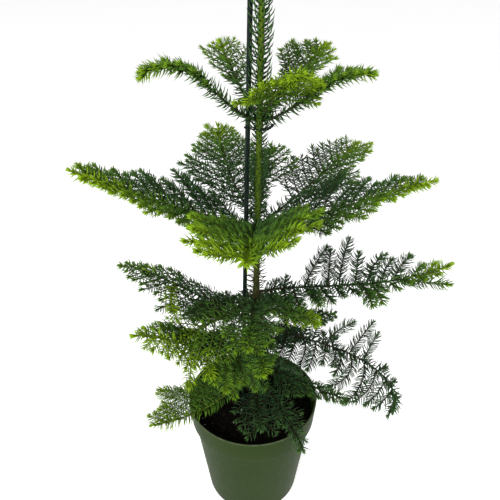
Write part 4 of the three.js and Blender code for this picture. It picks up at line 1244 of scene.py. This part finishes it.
# the mix and the chips are nearly black: their own damp colour, darkened further as painted shade under the
# fronds
damp = mix_finish("damp_mix_painted_shade", (0.0012, 0.0010, 0.0007), (0.006, 0.004, 0.003), 220)
chips = mix_finish("bark_chips_painted_shade", (0.002, 0.0014, 0.001), (0.022, 0.013, 0.008), 300)
white = mix_finish("perlite", (0.35, 0.33, 0.30), (0.62, 0.60, 0.57), 700)
piece("potting_mix", soil_shape(), damp, ["soil"])
piece("bark_crumbs", crumbs(900, 1.4, 6.5, (1, 0.55, 0.35), draw), chips, ())
piece("perlite_specks", crumbs(26, 0.9, 2.4, (1, 0.85, 0.8), draw), white, ())

# %% [markdown]
# ## Floor and light
#
# The photograph has a plain white ground. A large pale floor gives that, lit by a soft bright room
# and by broad lamps above and in front, as in a studio. The pot's sides then brighten towards their
# edges, and the tops of the fronds catch more light than what is under them.

# %% Floor
FLOOR_SIZE = 40000.0


def floor_finish():
    """Nearly white and dull, with wide faint clouds, and a little light of its own like lit paper."""
    material, tree, shader = finish("pale_floor", 0.9, Specular_IOR_Level=0.1)
    clouds = ramp(tree, noise(tree, 0.6, 2), [(0, (0.86, 0.86, 0.86)), (1, (0.9, 0.9, 0.9))])
    tree.links.new(clouds, shader.inputs["Base Color"])
    shader.inputs["Emission Color"].default_value = (1, 1, 1, 1)
    shader.inputs["Emission Strength"].default_value = 0.56
    return material


floor_outline = [(0, -2.0), (FLOOR_SIZE / 2, -2.0), (FLOOR_SIZE / 2, 0.0), (0, 0.0)]
floor = mesh_object("floor", turned(floor_outline, 64), floor_finish())
print("Floor:", FLOOR_SIZE * MM, "m across")


# %% Lights
def lamp(name, place, aim, size, power):
    """A square area lamp at a place, turned to face its aim. Lengths are metres, power is watts."""
    made = bpy.data.objects.new(name, bpy.data.lights.new(name, "AREA"))
    made.data.size, made.data.energy = size, power
    made.location = place
    way = unit(np.array(aim) - np.array(place))
    pitch, turn = np.arctan2(np.hypot(way[0], way[1]), -way[2]), np.arctan2(-way[0], way[1])
    made.rotation_euler = (pitch, 0.0, turn)
    bpy.context.scene.collection.objects.link(made)


PLANT_MIDDLE = (0, 0, 0.3)
lamp("key", (-0.7, -1.6, 1.25), PLANT_MIDDLE, 0.8, 30)
lamp("fill", (1.5, -0.9, 1.0), PLANT_MIDDLE, 1.2, 7)
lamp("top", (0.1, 0.3, 2.2), PLANT_MIDDLE, 1.2, 10)

room = bpy.data.worlds.new("room")
room.use_nodes = True
background = room.node_tree.nodes["Background"].inputs
background["Color"].default_value = (1, 1, 1, 1)
background["Strength"].default_value = 0.5
bpy.context.scene.world = room
bpy.context.scene.view_settings.view_transform = "Standard"
print("Lamps:", len(bpy.data.lights))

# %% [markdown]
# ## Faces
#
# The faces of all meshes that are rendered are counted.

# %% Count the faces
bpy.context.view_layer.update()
shown = [o for o in bpy.data.objects if o.type == "MESH" and not o.hide_render]
print("Faces in all:", sum(len(o.data.polygons) for o in shown))
